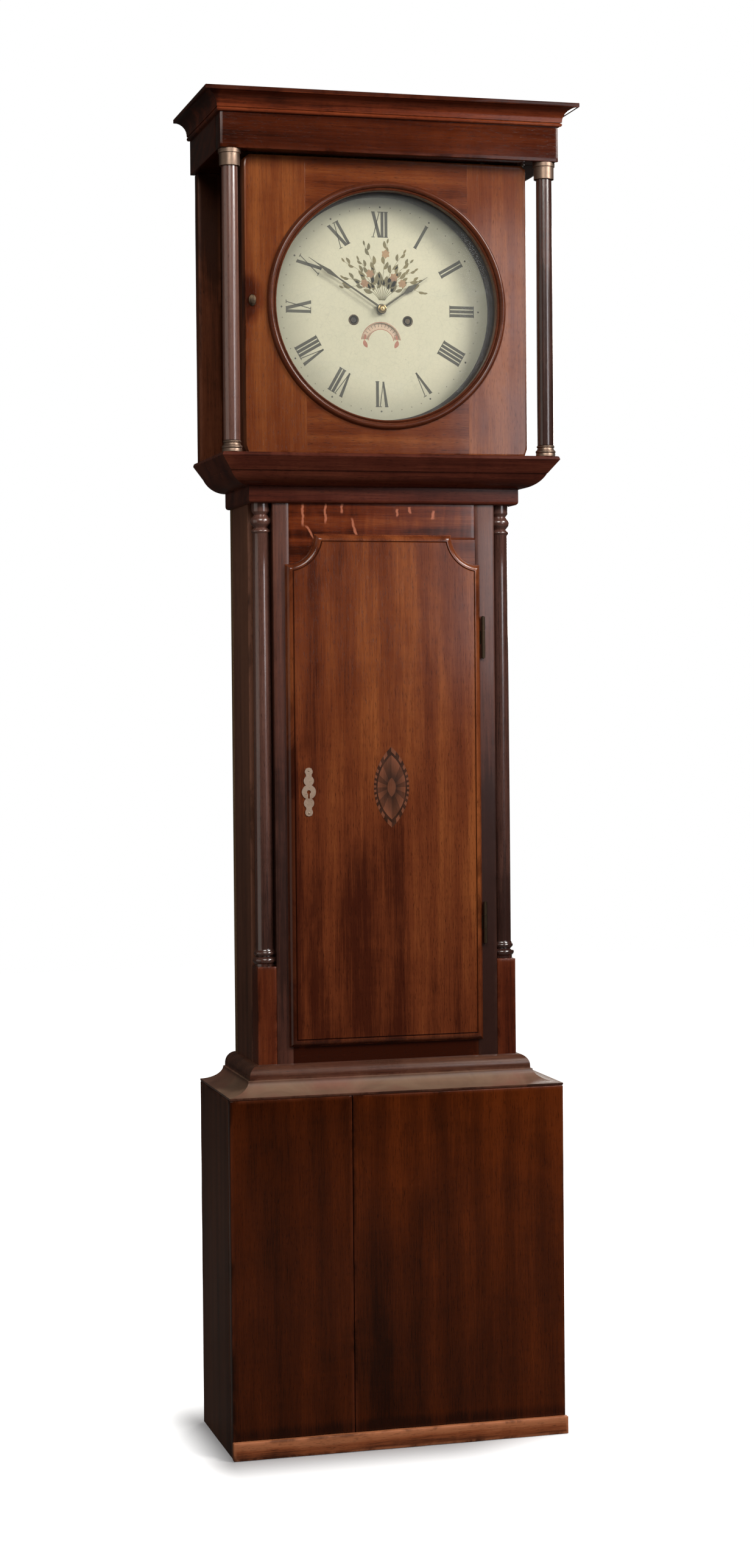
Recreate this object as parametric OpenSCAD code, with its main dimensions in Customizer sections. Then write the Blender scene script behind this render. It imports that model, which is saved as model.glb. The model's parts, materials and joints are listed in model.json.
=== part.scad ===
// Longcase clock with a square hood, a tall trunk door and an eight-day movement.
// Millimetres. X is the clock's width, -Y is its front, Z is up.
// The origin lies on the floor under the middle of the bounding box.

/* [Case heights] */
// Height of the base box, from the floor
base_h = 541; // [420:1:660]
// Height of the trunk, from the base box to the hood's seat
trunk_h = 947; // [900:1:1040]
// Height of the hood, from its seat to the top
hood_h = 562; // [545:1:600]

/* [Case widths and depths] */
// Width of the base box
base_w = 527; // [500:1:600]
// Depth of the base box
base_d = 224; // [212:1:260]
// Width of the trunk
trunk_w = 412.8; // [400:0.1:420]
// Depth of the trunk
trunk_d = 166.5; // [160:0.1:176]
// Width of the hood over its frieze
hood_w = 530; // [520:1:560]
// Depth of the hood over its frieze
hood_d = 227; // [222:1:250]

/* [Boards] */
// Thickness of the base boards
base_board = 18; // [14:0.5:22]
// Thickness of the trunk's side boards, whose tops carry the movement
cheek_board = 14; // [10:0.5:16]
// Thickness of the boards round the trunk door
front_board = 20; // [16:0.5:24]
// Wood left outside the rebate that holds the base's backboard
back_lip = 6; // [4:0.5:9]
// Thickness of the backboards
back_board = 14; // [8:0.5:18]
// Gap between the two boards of the base front
board_gap = 0.6; // [0.3:0.1:2]
// Share of the base front that its left board takes
joint_share = 0.36; // [0.2:0.01:0.5]
// Gap in the mitres between two lengths of a moulding
mitre_gap = 0.1; // [0.05:0.05:0.5]

/* [Base] */
// Height of the plinth strip
skirt_h = 28.6; // [20:0.1:60]
// Thickness of the plinth strip
skirt_t = 11.5; // [6:0.5:20]
// How far the plinth strip passes the base at each end
skirt_over = 2; // [0:0.5:6]
// Height of the base's bottom board above the floor
floor_z = 30; // [10:1:60]
// Height of the moulding on top of the base
base_mould_h = 45; // [36:1:60]
// How far the bead of that moulding stands out of the trunk
base_bead = 17; // [12:0.5:24]

/* [Trunk] */
// Width of the corner rebates that hold the columns
rebate_w = 30.2; // [29.5:0.1:32]
// Depth of the corner rebates
rebate_d = 41; // [36:0.5:44]
// Height of the blocks under the trunk columns
block_h = 194; // [120:1:260]
// Radius of the trunk columns at the foot
column_foot_r = 13.8; // [10:0.1:14.4]
// Radius of the trunk columns at the neck
column_neck_r = 12.4; // [9:0.1:13]
// Height of the moulding under the hood
throat_h = 47; // [40:1:52]
// How far that moulding stands out of the trunk at its top
throat_out = 43; // [36:1:44]

/* [Trunk door] */
// Width of the trunk door over its lip
door_w = 310; // [290:1:316]
// Height of the trunk door over its lip
door_h = 783; // [640:1:790]
// How far the door sits from the clock's middle
door_x = -3; // [-6:0.5:6]
// Height of the door's lower edge above the base box
door_lift = 70; // [64:1:90]
// How far the lip laps over the frame
lap = 7; // [5:0.5:9]
// Thickness of the lip
lip_t = 10; // [8:0.5:12]
// Thickness of the door behind the lip
panel_t = 12; // [8:0.5:16]
// Radius of the hollow corners at the door's head
notch_r = 46; // [30:1:60]
// Width of the quarter round along the door's edge
lip_round = 9; // [5:0.5:9]

/* [Hood] */
// Height of the frame that the hood stands on
hood_frame_h = 25.5; // [20:0.5:32]
// Height of the frieze boards, from the door to the top board
frieze_h = 76; // [70:1:100]
// How far the cornice stands out of the frieze
cornice_out = 26; // [16:1:36]
// Height of the cornice
cornice_h = 33; // [26:1:44]
// Thickness of the hood's top board
top_board = 10; // [6:0.5:14]
// Width of the hood door
hood_door_w = 444; // [440:1:446]
// Thickness of the hood door
hood_door_t = 22; // [18:0.5:24]
// How far the hood door stands forward of the back of the clock
hood_door_d = 196; // [194:0.5:200]
// Thickness of the hood's side boards
hood_side_t = 12; // [8:0.5:13]
// Radius of the hood columns
hood_column_r = 12.5; // [8:0.5:14]
// How far the hood columns stand from the clock's middle
hood_column_x = 247; // [243:0.5:250]
// How far the hood slides forward to come off
hood_travel = 260; // [150:1:300]

/* [Dial and hands] */
// Radius of the opening in the hood door
sight_r = 180; // [174:1:190]
// Radius of the dial
dial_r = 178; // [160:1:180]
// Height of the dial's centre above the hood door's centre
dial_up = 2; // [-4:0.5:6]
// Radius of the opening in the mask in front of the dial
mask_r = 171; // [150:1:173]
// Sideways distance of each winding hole from the centre
wind_x = 43; // [41:0.5:46]
// Distance of the winding holes below the centre
wind_down = 17; // [12:0.5:22]
// Length of the minute hand
minute_len = 138; // [110:1:150]
// Length of the hour hand
hour_len = 90; // [70:1:110]
// Angle of the minute hand at rest, clockwise from the top
minute_rest = 303; // [0:1:359]

/* [Movement] */
// Length from the pendulum's pivot to the middle of its bob
pendulum_len = 994; // [800:1:1000]
// Radius of the pendulum bob
bob_r = 58; // [40:1:62]
// Radius of the winding barrels
barrel_r = 25; // [20:0.5:26]
// Radius of the weights
weight_r = 28; // [20:0.5:30]
// Height of the weights
weight_h = 180; // [120:1:260]
// Radius at the bottom of the pulleys' grooves
pulley_r = 20; // [16:0.5:20]
// Radius of the gut lines
line_r = 0.9; // [0.6:0.1:1.2]

/* [Hidden] */
$fn = 64;

// Running clearances: wood on wood, metal parts side by side, and shafts in holes.
wood_gap = 2;
part_gap = 0.4;
run_gap = 0.05;

// Heights that the rest is built on.
seat_z = base_h + trunk_h;
total_h = seat_z + hood_h;
trunk_bottom = base_h - 40;

// Depths are counted forward from the back of the clock.
back_y = (hood_d + cornice_out) / 2;
base_y = back_y - base_d;
trunk_y = back_y - trunk_d;
hood_y = back_y - hood_d;
inner_back_y = back_y - back_board;

// Trunk.
trunk_x = trunk_w / 2;
cheek_x = trunk_x - cheek_board;
rebate_x = trunk_x - rebate_w;
rebate_y = trunk_y + rebate_d;
post_x = rebate_x - 18;
column_x = rebate_x + 0.5 + column_foot_r;
column_y = trunk_y + 19;
block_top = base_h + block_h;
throat_z = seat_z - throat_h;

// Trunk door. Its outline is drawn round the point (door_x, door_mid_z).
door_bottom = base_h + door_lift;
door_top = door_bottom + door_h;
door_mid_z = (door_bottom + door_top) / 2;
door_face_y = trunk_y - lip_t;
hinge_r = 3;
hinge_x = door_x + door_w / 2 + hinge_r + 0.5;
hinge_y = trunk_y - hinge_r - 3;
leaf_t = 1.4;
hinge_h = 64;
case_leaf_x = hinge_x + hinge_r - leaf_t;
leaf_in = 14;
door_leaf_x = hinge_x - hinge_r;
door_leaf_in = 14;
hinge_up = 150;
hinge_down = 190;
hinge_zs = [door_bottom + hinge_up, door_top - hinge_down];
lock_z = 996;
lock_x = door_x - door_w / 2 + 32;

// Hood.
hood_x = hood_w / 2;
frame_top = seat_z + hood_frame_h;
board_z = total_h - top_board;
frieze_z = board_z - frieze_h;
hood_door_x = hood_door_w / 2;
hood_door_y = back_y - hood_door_d;
hood_door_back = hood_door_y + hood_door_t;
hood_door_z0 = frame_top + wood_gap;
hood_door_z1 = frieze_z - wood_gap;
hood_side_y = hood_door_back + 1;
frieze_t = 32;
mask_t = 10;
mask_y = hood_door_back + 5.5;
post_d = 24;
post_out = hood_x - 7;
hood_column_y = hood_y + hood_column_r + 4.5;
hood_pivot_x = hood_door_x - 5;
hood_pivot_y = hood_door_y + 5;

// Dial, movement plates and the planes of the wheels.
dial_z = (hood_door_z0 + hood_door_z1) / 2 + dial_up;
dial_t = 2;
dial_y = mask_y + mask_t + 3;
plate_t = 3;
dial_room = 25;
front_plate_y = dial_y + dial_t + dial_room;
plate_room = 60;
back_plate_y = front_plate_y + plate_t + plate_room;
plate_y0 = front_plate_y + plate_t;
plate_x = 74;
seat_t = 16;
seat_drop = 92;
seat_top = dial_z - seat_drop;
seat_bottom = seat_top - seat_t;
plate_rise = 108;
plate_top = dial_z + plate_rise;

// Tooth counts and modules. The great wheel drives the centre pinion, and so on.
great_teeth = 96;
centre_leaves = 8;
centre_teeth = 60;
third_leaves = 8;
third_teeth = 56;
escape_leaves = 7;
escape_teeth = 30;
cannon_teeth = 24;
minute_teeth = 48;
minute_leaves = 12;
hour_teeth = 72;
going_p = [wind_x, -wind_down];
strike_p = [-wind_x, -wind_down];
great_m = 2 * norm(going_p) / (great_teeth + centre_leaves);
centre_m = 0.8;
third_m = 0.7;
motion_m = 0.7;
minute_d = motion_m * (cannon_teeth + minute_teeth) / 2;
hour_m = 2 * minute_d / (minute_leaves + hour_teeth);
third_dir = 60;
third_d = centre_m * (centre_teeth + third_leaves) / 2;
third_p = third_d * [cos(third_dir), sin(third_dir)];
escape_d = third_m * (third_teeth + escape_leaves) / 2;
escape_p = [0, third_p.y + sqrt(escape_d * escape_d - third_p.x * third_p.x)];
escape_r = 20;
anchor_rise = 28;
pivot_z = dial_z + escape_p.y + anchor_rise;
minute_dir = 240;
minute_p = minute_d * [cos(minute_dir), sin(minute_dir)];
date_p = [0, -51];
date_r = 34;
mouth_r = 26;
mouth_w = 9;
hammer_p = [-50, 45];

// Planes of the wheels, each the front of a wheel.
centre_wheel_y = plate_y0 + 4;
strike_wheel_y = plate_y0 + 11.5;
barrel_y0 = plate_y0 + 15.5;
barrel_len = 29.5;
barrel_y1 = barrel_y0 + barrel_len;
third_wheel_y = plate_y0 + 24;
escape_wheel_y = plate_y0 + 41;
great_wheel_y = barrel_y1 + 4.5;
wheel_t = 2;
arbor_r = 1.6;
pivot_r = 1;
stud_r = 1.6;
cannon_r = 3.4;
winding_r = 4;
cannon_y = front_plate_y - 6;
hour_wheel_y = front_plate_y - 11;
date_y = dial_y + dial_t + 0.8;
hour_hand_y = dial_y - 5.4;
minute_hand_y = dial_y - 9.6;
hand_t = 1;

// Pendulum and weights.
pendulum_y = back_plate_y + plate_t + 17;
bob_z = pivot_z - pendulum_len;
bob_t = 22;
line_y = (barrel_y0 + barrel_y1) / 2;
line_run_r = pulley_r + line_r + 0.3;
going_x = wind_x - barrel_r - line_r - 0.3 + line_run_r;
strike_x = going_x - 2 * wind_x;
weight_z = floor_z + 12 + 18;
pulley_z = weight_z + weight_h + 52;
pulley_t = 8;
bell_r = 36;
bell_y = plate_y0 + 21;
bell_z = plate_top + 14;

// A cylinder along Y at (x, z), from y0 to y1.
module rod(x, z, y0, y1, r) {
  translate([x, y1, z]) rotate([90, 0, 0]) cylinder(h = y1 - y0, r = r);
}

// A flat shape drawn in X and Z, from y0 to y1.
module slab(y0, y1) {
  translate([0, y1, 0]) rotate([90, 0, 0]) linear_extrude(y1 - y0) children();
}

// The same, drawn round the dial's centre.
module dial_slab(y0, y1) {
  translate([0, 0, dial_z]) slab(y0, y1) children();
}

// An upright shaft round an arbor's place p, counted from the dial's centre.
module arbor(p, y0, y1, r) {
  rod(p.x, dial_z + p.y, y0, y1, r);
}

// A box from corner a to corner b.
module box(a, b) {
  translate(a) cube(b - a);
}

// Both hands of a piece: as drawn, and mirrored to the other side.
module both_sides() {
  children();
  mirror([1, 0, 0]) children();
}

// A gear's outline with one tooth centred on +X. Widths are shares of the pitch.
module gear2d(teeth, m, add, ded, root_w, pitch_w, tip_w) {
  r = teeth * m / 2;
  step = 360 / teeth;
  root = r - ded * m;
  tip = r + add * m;
  polygon([for (i = [0 : teeth - 1]) for (c = [
    [root, -root_w], [r, -pitch_w], [tip, -tip_w], [tip, tip_w], [r, pitch_w], [root, root_w]
  ]) let (a = step * (i + c[1])) c[0] * [cos(a), sin(a)]]);
}

// A wheel's teeth are slim and a pinion's leaves are stubby, so they mesh with backlash.
module wheel2d(teeth, m) {
  gear2d(teeth, m, 0.8, 1.3, 0.25, 0.2, 0.07);
}

module pinion2d(leaves, m) {
  gear2d(leaves, m, 0.55, 1.15, 0.13, 0.17, 0.06);
}

// Spokes and rim: a wheel blank of outer radius r_out is crossed out between hub and rim.
module crossings(r_hub, r_rim, spokes) {
  difference() {
    circle(r_rim);
    circle(r_hub);
    for (i = [0 : spokes - 1]) rotate(i * 360 / spokes) translate([0, -1.6]) square([r_rim * 2, 3.2]);
  }
}

// A moulding's cross-section along the front and both sides of a box: three lengths with mitres.
// The profile is drawn as [distance out of the box, height].
module mitred_front(half_w, front_y, out) {
  w = half_w - mitre_gap;
  intersection() {
    translate([-half_w - out, 0, 0]) rotate([90, 0, 90]) linear_extrude(2 * (half_w + out))
      mirror([1, 0]) translate([-front_y, 0]) children();
    linear_extrude(total_h) polygon([
      [-w - 2 * out, front_y - 2 * out], [w + 2 * out, front_y - 2 * out],
      [w - out, front_y + out], [-w + out, front_y + out]
    ]);
  }
}

module mitred_side(half_w, front_y, out) {
  difference() {
    translate([0, back_y, 0]) rotate([90, 0, 0]) linear_extrude(back_y - front_y + out)
      translate([half_w, 0]) children();
    linear_extrude(total_h) polygon([
      [half_w - out, front_y + out], [half_w + 2 * out, front_y - 2 * out],
      [half_w - out, front_y - 2 * out]
    ]);
  }
}

module moulding(half_w, front_y, out) {
  mitred_front(half_w, front_y, out) children();
  both_sides() mitred_side(half_w, front_y, out) children();
}

// Points of a quarter circle from angle a0 to a1 round centre c.
function arc(c, r, a0, a1, n = 8) = [for (i = [0 : n]) let (a = a0 + (a1 - a0) * i / n) c + r * [cos(a), sin(a)]];

// Points of a quarter ellipse of half-widths rx and ry.
function oval_arc(c, rx, ry, a0, a1, n = 10) =
  [for (i = [0 : n]) let (a = a0 + (a1 - a0) * i / n) c + [rx * cos(a), ry * sin(a)]];

// Base.
module base_front() {
  color("#4a2010") {
    joint_x = -base_w / 2 + joint_share * base_w;
    box([-base_w / 2, base_y, 0], [joint_x - board_gap / 2, base_y + base_board, base_h]);
    box([joint_x + board_gap / 2, base_y, 0], [base_w / 2, base_y + base_board, base_h]);
  }
}

// Each side's rear edge has a rebate for the backboard.
module base_sides() {
  color("#3a1c10") both_sides() {
    box([base_w / 2 - base_board, base_y + base_board, 0], [base_w / 2, inner_back_y, base_h]);
    box([base_w / 2 - back_lip, inner_back_y, 0], [base_w / 2, back_y, base_h]);
  }
}

module base_floor() {
  color("#5a4030")
    box([-base_w / 2 + base_board, base_y + base_board, floor_z],
        [base_w / 2 - base_board, inner_back_y, floor_z + 12]);
}

module plinth_skirt() {
  color("#6a4028")
    box([-base_w / 2 - skirt_over, base_y - skirt_t, 0], [base_w / 2 + skirt_over, base_y, skirt_h]);
}

// The moulding's foot covers the step from the trunk out to the base.
module base_moulding_profile() {
  out = (base_w - trunk_w) / 2;
  bead_z = base_h + base_mould_h - base_bead;
  cove_z = bead_z - 5;
  polygon(concat(
    [[0, base_h], [out, base_h]],
    oval_arc([out, cove_z], out - base_bead - 3, cove_z - base_h - 4, 270, 180),
    [[base_bead, cove_z]],
    arc([0, bead_z], base_bead, 0, 90)
  ));
}

module base_moulding() {
  color("#7a5545") moulding(trunk_x, trunk_y, (base_w - trunk_w) / 2) base_moulding_profile();
}

// Trunk.
module trunk_sides() {
  color("#3c2014") both_sides()
    box([cheek_x, rebate_y, trunk_bottom], [trunk_x, inner_back_y, seat_bottom]);
}

// Each stile is the board beside the door and the post that the column's rebate is cut in.
module stile(door_edge) {
  box([door_edge, trunk_y, trunk_bottom], [rebate_x, trunk_y + front_board, seat_z]);
  box([post_x, trunk_y + front_board, trunk_bottom], [rebate_x, rebate_y + 14, seat_z]);
  box([rebate_x, rebate_y, trunk_bottom], [cheek_x, rebate_y + 14, seat_z]);
}

open_x0 = door_x - door_w / 2 + lap;
open_x1 = door_x + door_w / 2 - lap;

module trunk_stiles() {
  color("#5a2c18") {
    difference() {
      stile(open_x1);
      for (z = hinge_zs) box([case_leaf_x, trunk_y - 1, z], [case_leaf_x + leaf_t, trunk_y + leaf_in, z + hinge_h]);
    }
    mirror([1, 0, 0]) stile(-open_x0);
  }
}

// The door's outline, made smaller or larger by inset all round.
module door_outline(inset) {
  w = door_w / 2 - inset;
  h = door_h / 2 - inset;
  difference() {
    translate([door_x - w, -h]) square([2 * w, 2 * h]);
    for (s = [-1, 1]) translate([door_x + s * door_w / 2, door_h / 2]) circle(notch_r + inset);
  }
}

// A wide rail above the door, with spandrels that follow its hollow corners, and one below.
module trunk_rails() {
  color("#7a3c20") {
    foot = door_top - notch_r - lap;
    translate([0, 0, door_mid_z]) slab(trunk_y, trunk_y + front_board) difference() {
      translate([open_x0, foot - door_mid_z]) square([open_x1 - open_x0, seat_z - foot]);
      door_outline(lap);
    }
    box([open_x0, trunk_y, trunk_bottom], [open_x1, trunk_y + front_board, door_bottom + lap]);
  }
}

// A column's outline: torus foot, slender shaft, ring and ball under a square cap.
module trunk_column_half() {
  foot = column_foot_r;
  neck = column_neck_r;
  z1 = throat_z - block_top;
  polygon(concat(
    [[0, 0], [foot + 1.5, 0], [foot + 1.5, 4]],
    arc([foot - 0.5, 9], 5, -50, 50),
    [[foot - 1, 15]],
    arc([foot - 1, 20], 4, -50, 50),
    [[foot, 28], [neck, z1 - 46], [neck + 2, z1 - 44], [neck + 2, z1 - 40], [neck - 2, z1 - 37]],
    arc([neck - 4.5, z1 - 27], 8, -50, 50),
    [[neck - 2, z1 - 17], [neck + 1.5, z1 - 12], [neck + 1.5, z1], [0, z1]]
  ));
}

// Each foot is notched where its rings meet the stile and the wall of the rebate.
module trunk_columns() {
  color("#3a1c14") both_sides() difference() {
    translate([column_x, column_y, block_top]) rotate_extrude() trunk_column_half();
    box([rebate_x - 20, trunk_y - 30, block_top - 1], [rebate_x, rebate_y + 20, seat_z]);
  }
}

// Square blocks fill the rebates below and above the columns.
module column_blocks() {
  color("#5c2414") both_sides() {
    box([rebate_x, trunk_y, base_h], [trunk_x, rebate_y, block_top]);
    box([rebate_x, trunk_y, throat_z], [trunk_x, rebate_y, seat_z]);
  }
}

// A rounded edge, an upright band and a broad round that carries on into the hood's frame.
module throat_profile() {
  band = 7.5;
  round_z = throat_z + 25;
  dx = throat_out - band;
  dz = seat_z - round_z;
  r = (dx * dx + dz * dz) / (2 * dz);
  polygon(concat(
    [[0, throat_z], [2.5, throat_z]],
    arc([2.5, throat_z + 5], 5, -90, 0, 4),
    arc([band, round_z + r], r, -90, atan2(dz - r, dx)),
    [[0, seat_z]]
  ));
}

module throat_moulding() {
  color("#45221a") moulding(trunk_x, trunk_y, throat_out) throat_profile();
}

// Back of the case: one board in the base's rebates and one behind trunk and hood.
module backboards() {
  color("#6b4a34") {
    box([-base_w / 2 + back_lip, inner_back_y, 4], [base_w / 2 - back_lip, back_y, base_h]);
    box([-trunk_x, inner_back_y, base_h], [trunk_x, back_y, board_z - 30]);
  }
}

// The seatboard lies on the trunk sides and has ways through for the lines and the crutch.
module seatboard() {
  color("#8a6a48") difference() {
    box([-trunk_x, plate_y0 - 12, seat_bottom], [trunk_x, inner_back_y, seat_top]);
    for (x = [going_x, strike_x]) {
      translate([x - line_run_r, line_y, seat_bottom - 1]) cylinder(h = seat_t + 2, r = 4);
      translate([x + line_run_r, line_y, seat_bottom - 1]) cylinder(h = seat_t + 2, r = line_r + run_gap);
    }
    box([-20, back_plate_y + plate_t + 4, seat_bottom - 1], [20, back_y, seat_top + 1]);
  }
}

// Hood.
module hood_top_board() {
  color("#3f2416") box([-hood_x, hood_y, board_z], [hood_x, back_y, total_h]);
}

module cornice_profile() {
  z0 = total_h - cornice_h;
  polygon(concat(
    [[0, z0], [2, z0]],
    arc([2, z0 + 3], 3, -90, 90, 6),
    arc([cornice_out - 2, z0 + 8], cornice_out - 7, 180, 90),
    [[cornice_out, total_h - 6], [cornice_out, total_h], [0, total_h]]
  ));
}

module hood_cornice() {
  color("#56281a") moulding(hood_x, hood_y, cornice_out) cornice_profile();
}

module hood_frieze() {
  color("#5e2a1c") {
    box([-hood_x, hood_y, frieze_z], [hood_x, hood_y + frieze_t, board_z]);
    both_sides() box([hood_door_x, hood_y + frieze_t, frieze_z], [hood_x, back_y, board_z]);
  }
}

// The sides rise from the frame to the top board; their heads reach forward over the door.
module hood_sides() {
  x0 = hood_door_x - hood_side_t;
  color("#4a2416") both_sides() difference() {
    union() {
      box([x0, hood_side_y, frame_top], [hood_door_x, back_y, board_z]);
      box([x0, hood_y + frieze_t, frieze_z], [hood_door_x, hood_side_y, board_z]);
    }
    door_pivot_bore(frieze_z);
  }
}

// The hood door's pins turn in bores this deep.
pin_in = 8;

module door_pivot_bore(z) {
  translate([hood_pivot_x, hood_pivot_y, z - pin_in]) cylinder(h = 2 * pin_in, r = 2 + run_gap);
}

module hood_rear_posts() {
  color("#3e2014") both_sides()
    box([hood_door_x, back_y - post_d, frame_top], [post_out, back_y, frieze_z]);
}

// The frame's edge runs on the line of the moulding below it.
module hood_frame_profile() {
  inner = hood_door_x - hood_side_t - hood_x;
  drop = hood_x - trunk_x - throat_out;
  polygon([
    [inner, seat_z], [-drop, seat_z], [0, seat_z + hood_frame_h - 5],
    [-1.5, frame_top - 1], [-4, frame_top], [inner, frame_top]
  ]);
}

// Front rail and two side rails, with mitred outer corners.
module hood_frame() {
  inner = hood_x - hood_door_x + hood_side_t;
  color("#4e281a") difference() {
    moulding(hood_x - inner, hood_y + inner, inner) translate([inner, 0]) hood_frame_profile();
    door_pivot_bore(frame_top);
  }
}

module hood_columns() {
  color("#4a2c22") both_sides() translate([hood_column_x, hood_column_y, frame_top + 17])
    cylinder(h = frieze_z - frame_top - 17 - 21, r = hood_column_r);
}

// A turned brass foot and, upside down with a wider plate, a turned brass cap.
module brass_half(flare) {
  r = hood_column_r;
  polygon(concat(
    [[0, 0], [r + flare, 0], [r + flare, 4]],
    arc([r + 0.5, 7], 2.5, -50, 50, 5),
    [[r + 1, 10], [r, 13], [r + 1.2, 15], [r, 17], [0, 17]]
  ));
}

module column_brasses() {
  color("#b08d4e") both_sides() {
    translate([hood_column_x, hood_column_y, frame_top]) rotate_extrude() brass_half(2.5);
    translate([hood_column_x, hood_column_y, frieze_z]) mirror([0, 0, 1]) {
      rotate_extrude() polygon([
        [0, 0], [hood_column_r + 4.5, 0], [hood_column_r + 4.5, 6], [hood_column_r + 3, 8],
        [hood_column_r + 0.8, 16], [hood_column_r + 1.5, 18.5], [hood_column_r, 21], [0, 21]
      ]);
    }
  }
}

module hood_mask() {
  x = hood_door_x - hood_side_t;
  color("#2a1810") slab(mask_y, mask_y + mask_t) difference() {
    translate([-x, frame_top]) square([2 * x, frieze_z - frame_top]);
    translate([0, dial_z]) circle(mask_r, $fn = 128);
  }
}

// Hood door.
module hood_door_frame() {
  color("#8a3c1e") difference() {
    box([-hood_door_x, hood_door_y, hood_door_z0], [hood_door_x, hood_door_back, hood_door_z1]);
    rod(0, dial_z, hood_door_y - 1, hood_door_back + 1, sight_r, $fn = 128);
    rod(0, dial_z, hood_door_y + 10, hood_door_back + 1, sight_r + 6, $fn = 128);
    for (z = [hood_door_z0 - 1, hood_door_z1 - 10]) translate([hood_pivot_x, hood_pivot_y, z])
      cylinder(h = 11, r = 2);
  }
}

// A turned ring lines the opening: a half round in front and a sleeve behind it.
module hood_door_bezel() {
  color("#6a2a18") translate([0, hood_door_y, dial_z]) rotate([-90, 0, 0]) rotate_extrude($fn = 128)
    polygon(concat(
      [[sight_r - 6, 10], [sight_r - 6, 0]],
      arc([sight_r + 1, 0], 7, 180, 360, 10),
      [[sight_r + 8, 0], [sight_r, 0], [sight_r, 10]]
    ));
}

module hood_door_glass() {
  color("#cfe0dc", 0.3) rod(0, dial_z, hood_door_y + 10, hood_door_y + 12, sight_r + 5.7, $fn = 128);
}

// Brass pins at the head and foot of the door turn in the frieze and in the frame.
module hood_door_pivots() {
  reach = pin_in - part_gap;
  color("#a8843e") translate([hood_pivot_x, hood_pivot_y, 0]) {
    translate([0, 0, frame_top - reach]) cylinder(h = reach + wood_gap + 10, r = 2);
    translate([0, 0, hood_door_z1 - 10]) cylinder(h = 10 + wood_gap + reach, r = 2);
    for (z = [frame_top + part_gap, hood_door_z1]) translate([0, 0, z]) cylinder(h = wood_gap - part_gap, r = 4);
  }
}

// Trunk door: the lip's quarter round is built in fine steps, and a panel fills the opening.
lip_fillet = 3;
lip_steps = 6;

module trunk_door() {
  color("#7c3a1c") difference() {
    translate([0, 0, door_mid_z]) {
      for (i = [0 : lip_steps - 1]) {
        a = 90 * (i + 0.5) / lip_steps;
        slab(door_face_y + lip_round * (1 - sin(a)), trunk_y) door_outline(lip_fillet + lip_round * (1 - cos(a)));
      }
      slab(door_face_y + lip_round, trunk_y) door_outline(0);
      slab(door_face_y, trunk_y) door_outline(lip_fillet + lip_round);
      slab(trunk_y, trunk_y + panel_t) door_outline(lap + 1);
    }
    for (z = hinge_zs) box([door_leaf_x - door_leaf_in, trunk_y - leaf_t - 0.2, z + hinge_h / 3 + part_gap],
                           [hinge_x, trunk_y, z + 2 * hinge_h / 3 - part_gap]);
  }
}

// The inlay is a plain oval patera of its own, let into the face.
inlay_x = door_x + 8;
inlay_z = lock_z + 10;
inlay_w = 56;
inlay_h = 124;
// Each side of the inlay is an arc of this radius.
inlay_r = (inlay_w * inlay_w + inlay_h * inlay_h) / (4 * inlay_w);

module trunk_door_inlay() {
  color("#b08a60") translate([inlay_x, 0, inlay_z]) slab(door_face_y - 0.3, door_face_y)
    intersection_for(s = [-1, 1]) translate([s * (inlay_r - inlay_w / 2), 0]) circle(inlay_r, $fn = 128);
}

// A waisted brass plate with a keyhole through it.
module trunk_door_escutcheon() {
  color("#c9b184") translate([lock_x, 0, lock_z + 5]) slab(door_face_y - 1.2, door_face_y) difference() {
    union() {
      circle(11);
      translate([0, 17]) circle(8);
      translate([0, 31]) circle(6);
      translate([0, -17]) circle(8);
      translate([0, -31]) circle(6);
      translate([-4.5, -36]) square([9, 72]);
    }
    circle(3);
    translate([-1.3, -10]) square([2.6, 10]);
  }
}

module trunk_door_lock() {
  color("#8d7440") {
    y1 = trunk_y + panel_t;
    box([lock_x - 14, y1, lock_z - 32], [lock_x + 34, y1 + 12, lock_z + 32]);
  }
}

// Hinges: three knuckles each, the middle one on the door and the outer ones on the case.
module knuckle(z0, z1, r_in, r_out) {
  difference() {
    translate([hinge_x, hinge_y, z0]) cylinder(h = z1 - z0, r = r_out);
    if (r_in > 0) translate([hinge_x, hinge_y, z0 - 1]) cylinder(h = z1 - z0 + 2, r = r_in);
  }
}

module trunk_hinge_leaves() {
  color("#a8843e") for (z = hinge_zs) {
    third = hinge_h / 3;
    for (k = [0, 2]) {
      knuckle(z + k * third, z + (k + 1) * third, 1.5 + run_gap, hinge_r);
      box([case_leaf_x, hinge_y, z + k * third], [case_leaf_x + leaf_t, trunk_y, z + (k + 1) * third]);
    }
    box([case_leaf_x, trunk_y, z], [case_leaf_x + leaf_t, trunk_y + leaf_in, z + hinge_h]);
  }
}

module trunk_door_hinges() {
  color("#a8843e") for (z = hinge_zs) {
    z0 = z + hinge_h / 3 + part_gap;
    z1 = z + 2 * hinge_h / 3 - part_gap;
    knuckle(z0, z1, 0, hinge_r);
    translate([hinge_x, hinge_y, z - 1]) cylinder(h = hinge_h + 2, r = 1.5);
    box([door_leaf_x, hinge_y, z0], [door_leaf_x + leaf_t, trunk_y - 0.2, z1]);
    box([door_leaf_x - door_leaf_in, trunk_y - leaf_t - 0.2, z0], [door_leaf_x + leaf_t, trunk_y - 0.2, z1]);
  }
}

// Dial: a round plate with winding holes and a curved calendar mouth.
module calendar_mouth() {
  translate(date_p) difference() {
    circle(mouth_r + mouth_w / 2);
    circle(mouth_r - mouth_w / 2);
    translate([-3 * mouth_r, -5 * mouth_r]) square([6 * mouth_r, (5 + sin(10)) * mouth_r]);
  }
}

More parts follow.
